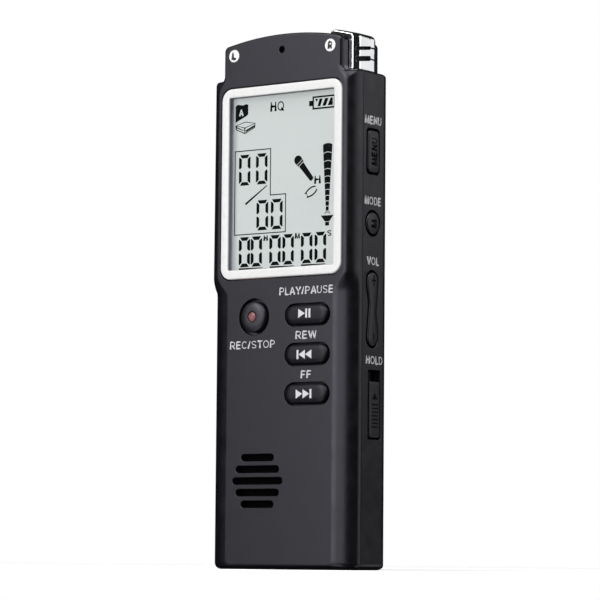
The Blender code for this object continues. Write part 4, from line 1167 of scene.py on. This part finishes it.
def jack(name, side):
    """The round collar of a 3.5 mm socket with a metal sleeve in its bore."""
    x = side * JACK_X
    collar = turned_tube(x, ((1.8, 9.0), (1.8, 0.25), (1.9, 0.08), (2.05, 0), (2.4, 0), (2.55, 0.08),
                             (2.6, 0.25), (2.6, 9.0)))
    piece(f"{name}_collar", collar, SIDE_KEY, replaces=(name,), sharp=50)
    sleeve = turned_tube(x, ((1.74, 1.2), (1.74, 8.6), (1.55, 8.6), (1.55, 1.2)))
    piece(f"{name}_sleeve", sleeve, NICKEL, sharp=50)


def speaker_front():
    """The cloth behind the slots."""
    cloth = prism(circle(*SPEAKER, SPEAKER_RADIUS), INNER_FACE_Y + 0.25, INNER_FACE_Y + 0.32)
    piece("speaker_mesh", cloth, MESH, replaces=("speaker_cloth",))


# -------- legends


def legends():
    """Words in print, each with its width and height and where its middle is."""
    for name, body, width, capital, x, z in (
        ("play", "PLAY/PAUSE", 12.42, 1.42, 6.24, 52.53), ("rewind", "REW", 4.8, 1.45, 6.3, 44.1),
        ("forward", "FF", 2.33, 1.42, 6.36, 36.62), ("record", "REC/STOP", 10.6, 1.42, -6.33, 42.65),
    ):
        printed(f"legend_{name}", lettering(body, width, capital, 0.105), FRONT, (x, FACE_Y, z), LEGEND)
    for name, body, width, y, z in (
        ("menu", "MENU", 5.35, 0.5, 84.85), ("mode", "MODE", 5.2, 0.56, 69.5),
        ("volume", "VOL", 3.85, 0.72, 58.1), ("hold", "HOLD", 5.3, 1.33, 39.4),
    ):
        text = lettering(body, width, 1.5, 0.13)
        # Side legends take the copy painted lighter for the side's dimmer light.
        printed(f"legend_{name}", text, RIGHT, (HALF_WIDTH, y, z), SIDE_LEGEND_PAINTED_LIGHTER)
    for name, x in (("left", -CHANNEL_X), ("right", CHANNEL_X)):
        disc, centre = polygons([circle(0, 0, CHANNEL_RADIUS)]), (x, FACE_Y - PRINT_DEPTH, CHANNEL_Z)
        printed(f"{name}_channel_disc", disc, FRONT, (x, FACE_Y, CHANNEL_Z), DISC)
        text = lettering(name[0].upper(), 0.92, 1.4, 0.2)
        printed(f"{name}_channel_letter", text, FRONT, centre, LETTER, depth=0.02, sink=0.005)


# -------- finishes of the frame's own nodes


def solder_mask():
    """Green varnish over a web of copper tracks."""
    s = Surface("board_green", (0.02, 0.13, 0.06), 0.38)
    tracks = s.cells(2.4)
    s.tint(tracks, (0.05, 0.24, 0.11), (0.018, 0.12, 0.055), 0.03, 0.06)
    s.bump(tracks, 0.02)
    return s.material


def node_finishes():
    """The finish of every CAD node that is still shown, by its slot in the record."""
    finishes = {
        "steel": metal("steel", (0.55, 0.55, 0.57), 0.28, (1.0, 1.0, 0.15)),
        "nickel": NICKEL,
        "battery_silver": metal("battery_foil", (0.50, 0.51, 0.53), 0.36, (1.0, 1.0, 1.0), 0.006),
        "part_black": moulded("part_black", (0.018, 0.018, 0.020), 0.45),
        "rubber_black": moulded("rubber_black", (0.016, 0.016, 0.017), 0.7, 0.3, 0.01),
        "foam_grey": moulded("foam_grey", (0.16, 0.16, 0.17), 0.9, 0.35, 0.12),
        "light_guide": glossy("light_guide", (0.8, 0.82, 0.8), 0.3),
        "flex_amber": moulded("flex_amber", (0.42, 0.19, 0.04), 0.35, 0.6, 0.01),
        "wire_red": moulded("wire_red", (0.42, 0.02, 0.02), 0.4),
        "wire_black": moulded("wire_black", (0.02, 0.02, 0.02), 0.4),
        "board_green": solder_mask(),
        "window_clear": window_material(),
        "display_grey": panel_material(),
    }
    for entry in frame["record"]["subparts"]:
        node, finish = NODES[entry["node"]], finishes.get(entry["material_slot"])
        if finish and not node.hide_render:
            paint_over(node.data, finish)


# -------- stage, light and camera


def stage():
    """A pale floor that only the camera sees."""
    floor = added("floor", mesh_of("floor", polygons([circle(0, 0, FLOOR_RADIUS, 96)])))
    s = Surface("floor_pale", (0.98, 0.98, 0.98), 0.9, Specular_IOR_Level=0.0, Emission_Strength=0.12)
    s.shade(s.noise(90.0, 2.0), 0.01)
    floor.data.materials.append(s.material)
    floor.visible_diffuse = floor.visible_glossy = floor.visible_shadow = False


def world():
    """White to the eye, dimmer as a light, so that black plastic stays black."""
    made = bpy.data.worlds.new("studio")
    made.use_nodes = True
    tree = made.node_tree
    tree.nodes.clear()
    out = tree.nodes.new("ShaderNodeOutputWorld")
    mix = tree.nodes.new("ShaderNodeMixShader")
    path = tree.nodes.new("ShaderNodeLightPath")
    for socket, strength in ((1, WORLD_LIGHT), (2, 1.0)):
        shade = tree.nodes.new("ShaderNodeBackground")
        shade.inputs["Color"].default_value = (1.0, 1.0, 1.0, 1.0)
        shade.inputs["Strength"].default_value = strength
        tree.links.new(shade.outputs["Background"], mix.inputs[socket])
    tree.links.new(path.outputs["Is Camera Ray"], mix.inputs["Fac"])
    tree.links.new(mix.outputs["Shader"], out.inputs["Surface"])
    bpy.context.scene.world = made


def direction_to(azimuth, elevation):
    """The way from the object to what stands at that azimuth, from its face towards its right."""
    a, e = math.radians(azimuth), math.radians(elevation)
    return Vector((math.sin(a) * math.cos(e), -math.cos(a) * math.cos(e), math.sin(e)))


def softbox(name, azimuth, elevation, width, height, radiance, distance=LIGHT_DISTANCE):
    """A rectangular light of that radiance, turned towards the middle of the object."""
    direction = direction_to(azimuth, elevation)
    data = bpy.data.lights.new(name, "AREA")
    data.shape = "RECTANGLE"
    data.size, data.size_y = width * MM, height * MM
    data.energy = radiance * math.pi * data.size * data.size_y
    light = added(name, data)
    light.location = (Vector(LIGHT_AIM) + direction * distance) * MM
    light.rotation_euler = direction.to_track_quat("Z", "Y").to_euler()
    light.visible_camera = False


def lights():
    softbox("overhead", -12, 50, 800, 760, 3.0)
    softbox("overhead_right", 75, 54, 680, 680, 3.8)
    softbox("front_box", -18, 14, 530, 760, 3.3)
    softbox("front_side", 21, 14, 640, 760, 1.95)
    softbox("rim_card", 123, 12, 340, 700, 1.25)
    softbox("chrome_card", 143, 22, 290, 560, 0.92)
    softbox("low_back", 142, -19, 420, 240, 1.1)
    softbox("low_side", 115, -36, 400, 300, 1.2)
    softbox("crown_card", -37, 21, 110, 110, 1.6)
    softbox("under_card", -10, -44, 460, 320, 1.4, distance=500)


def camera():
    back, roll = direction_to(CAMERA_AZIMUTH, CAMERA_ELEVATION), math.radians(CAMERA_ROLL)
    right = (-back).cross(Vector((0, 0, 1))).normalized()
    up = right.cross(-back)
    rolled_right = right * math.cos(roll) + up * math.sin(roll)
    rolled_up = up * math.cos(roll) - right * math.sin(roll)
    data = bpy.data.cameras.new("camera")
    data.lens, data.sensor_width = FOCAL_LENGTH, SENSOR_WIDTH
    data.clip_start, data.clip_end = 0.01, 20.0
    made = added("camera", data)
    pose = Matrix((rolled_right, rolled_up, back)).transposed().to_4x4()
    pose.translation = (Vector(CAMERA_TARGET) + back * CAMERA_DISTANCE) * MM
    made.matrix_world = pose
    bpy.context.scene.camera = made


front_shell()
rear_shell()
display_surround()
display_ink()
front_keys()
side_keys()
mic_cap("left", -1)
mic_cap("right", 1)
jack("earphone_jack", 1)
jack("line_in_jack", -1)
speaker_front()
legends()
node_finishes()
stage()
world()
lights()
camera()
bpy.context.scene.view_settings.view_transform = "Standard"
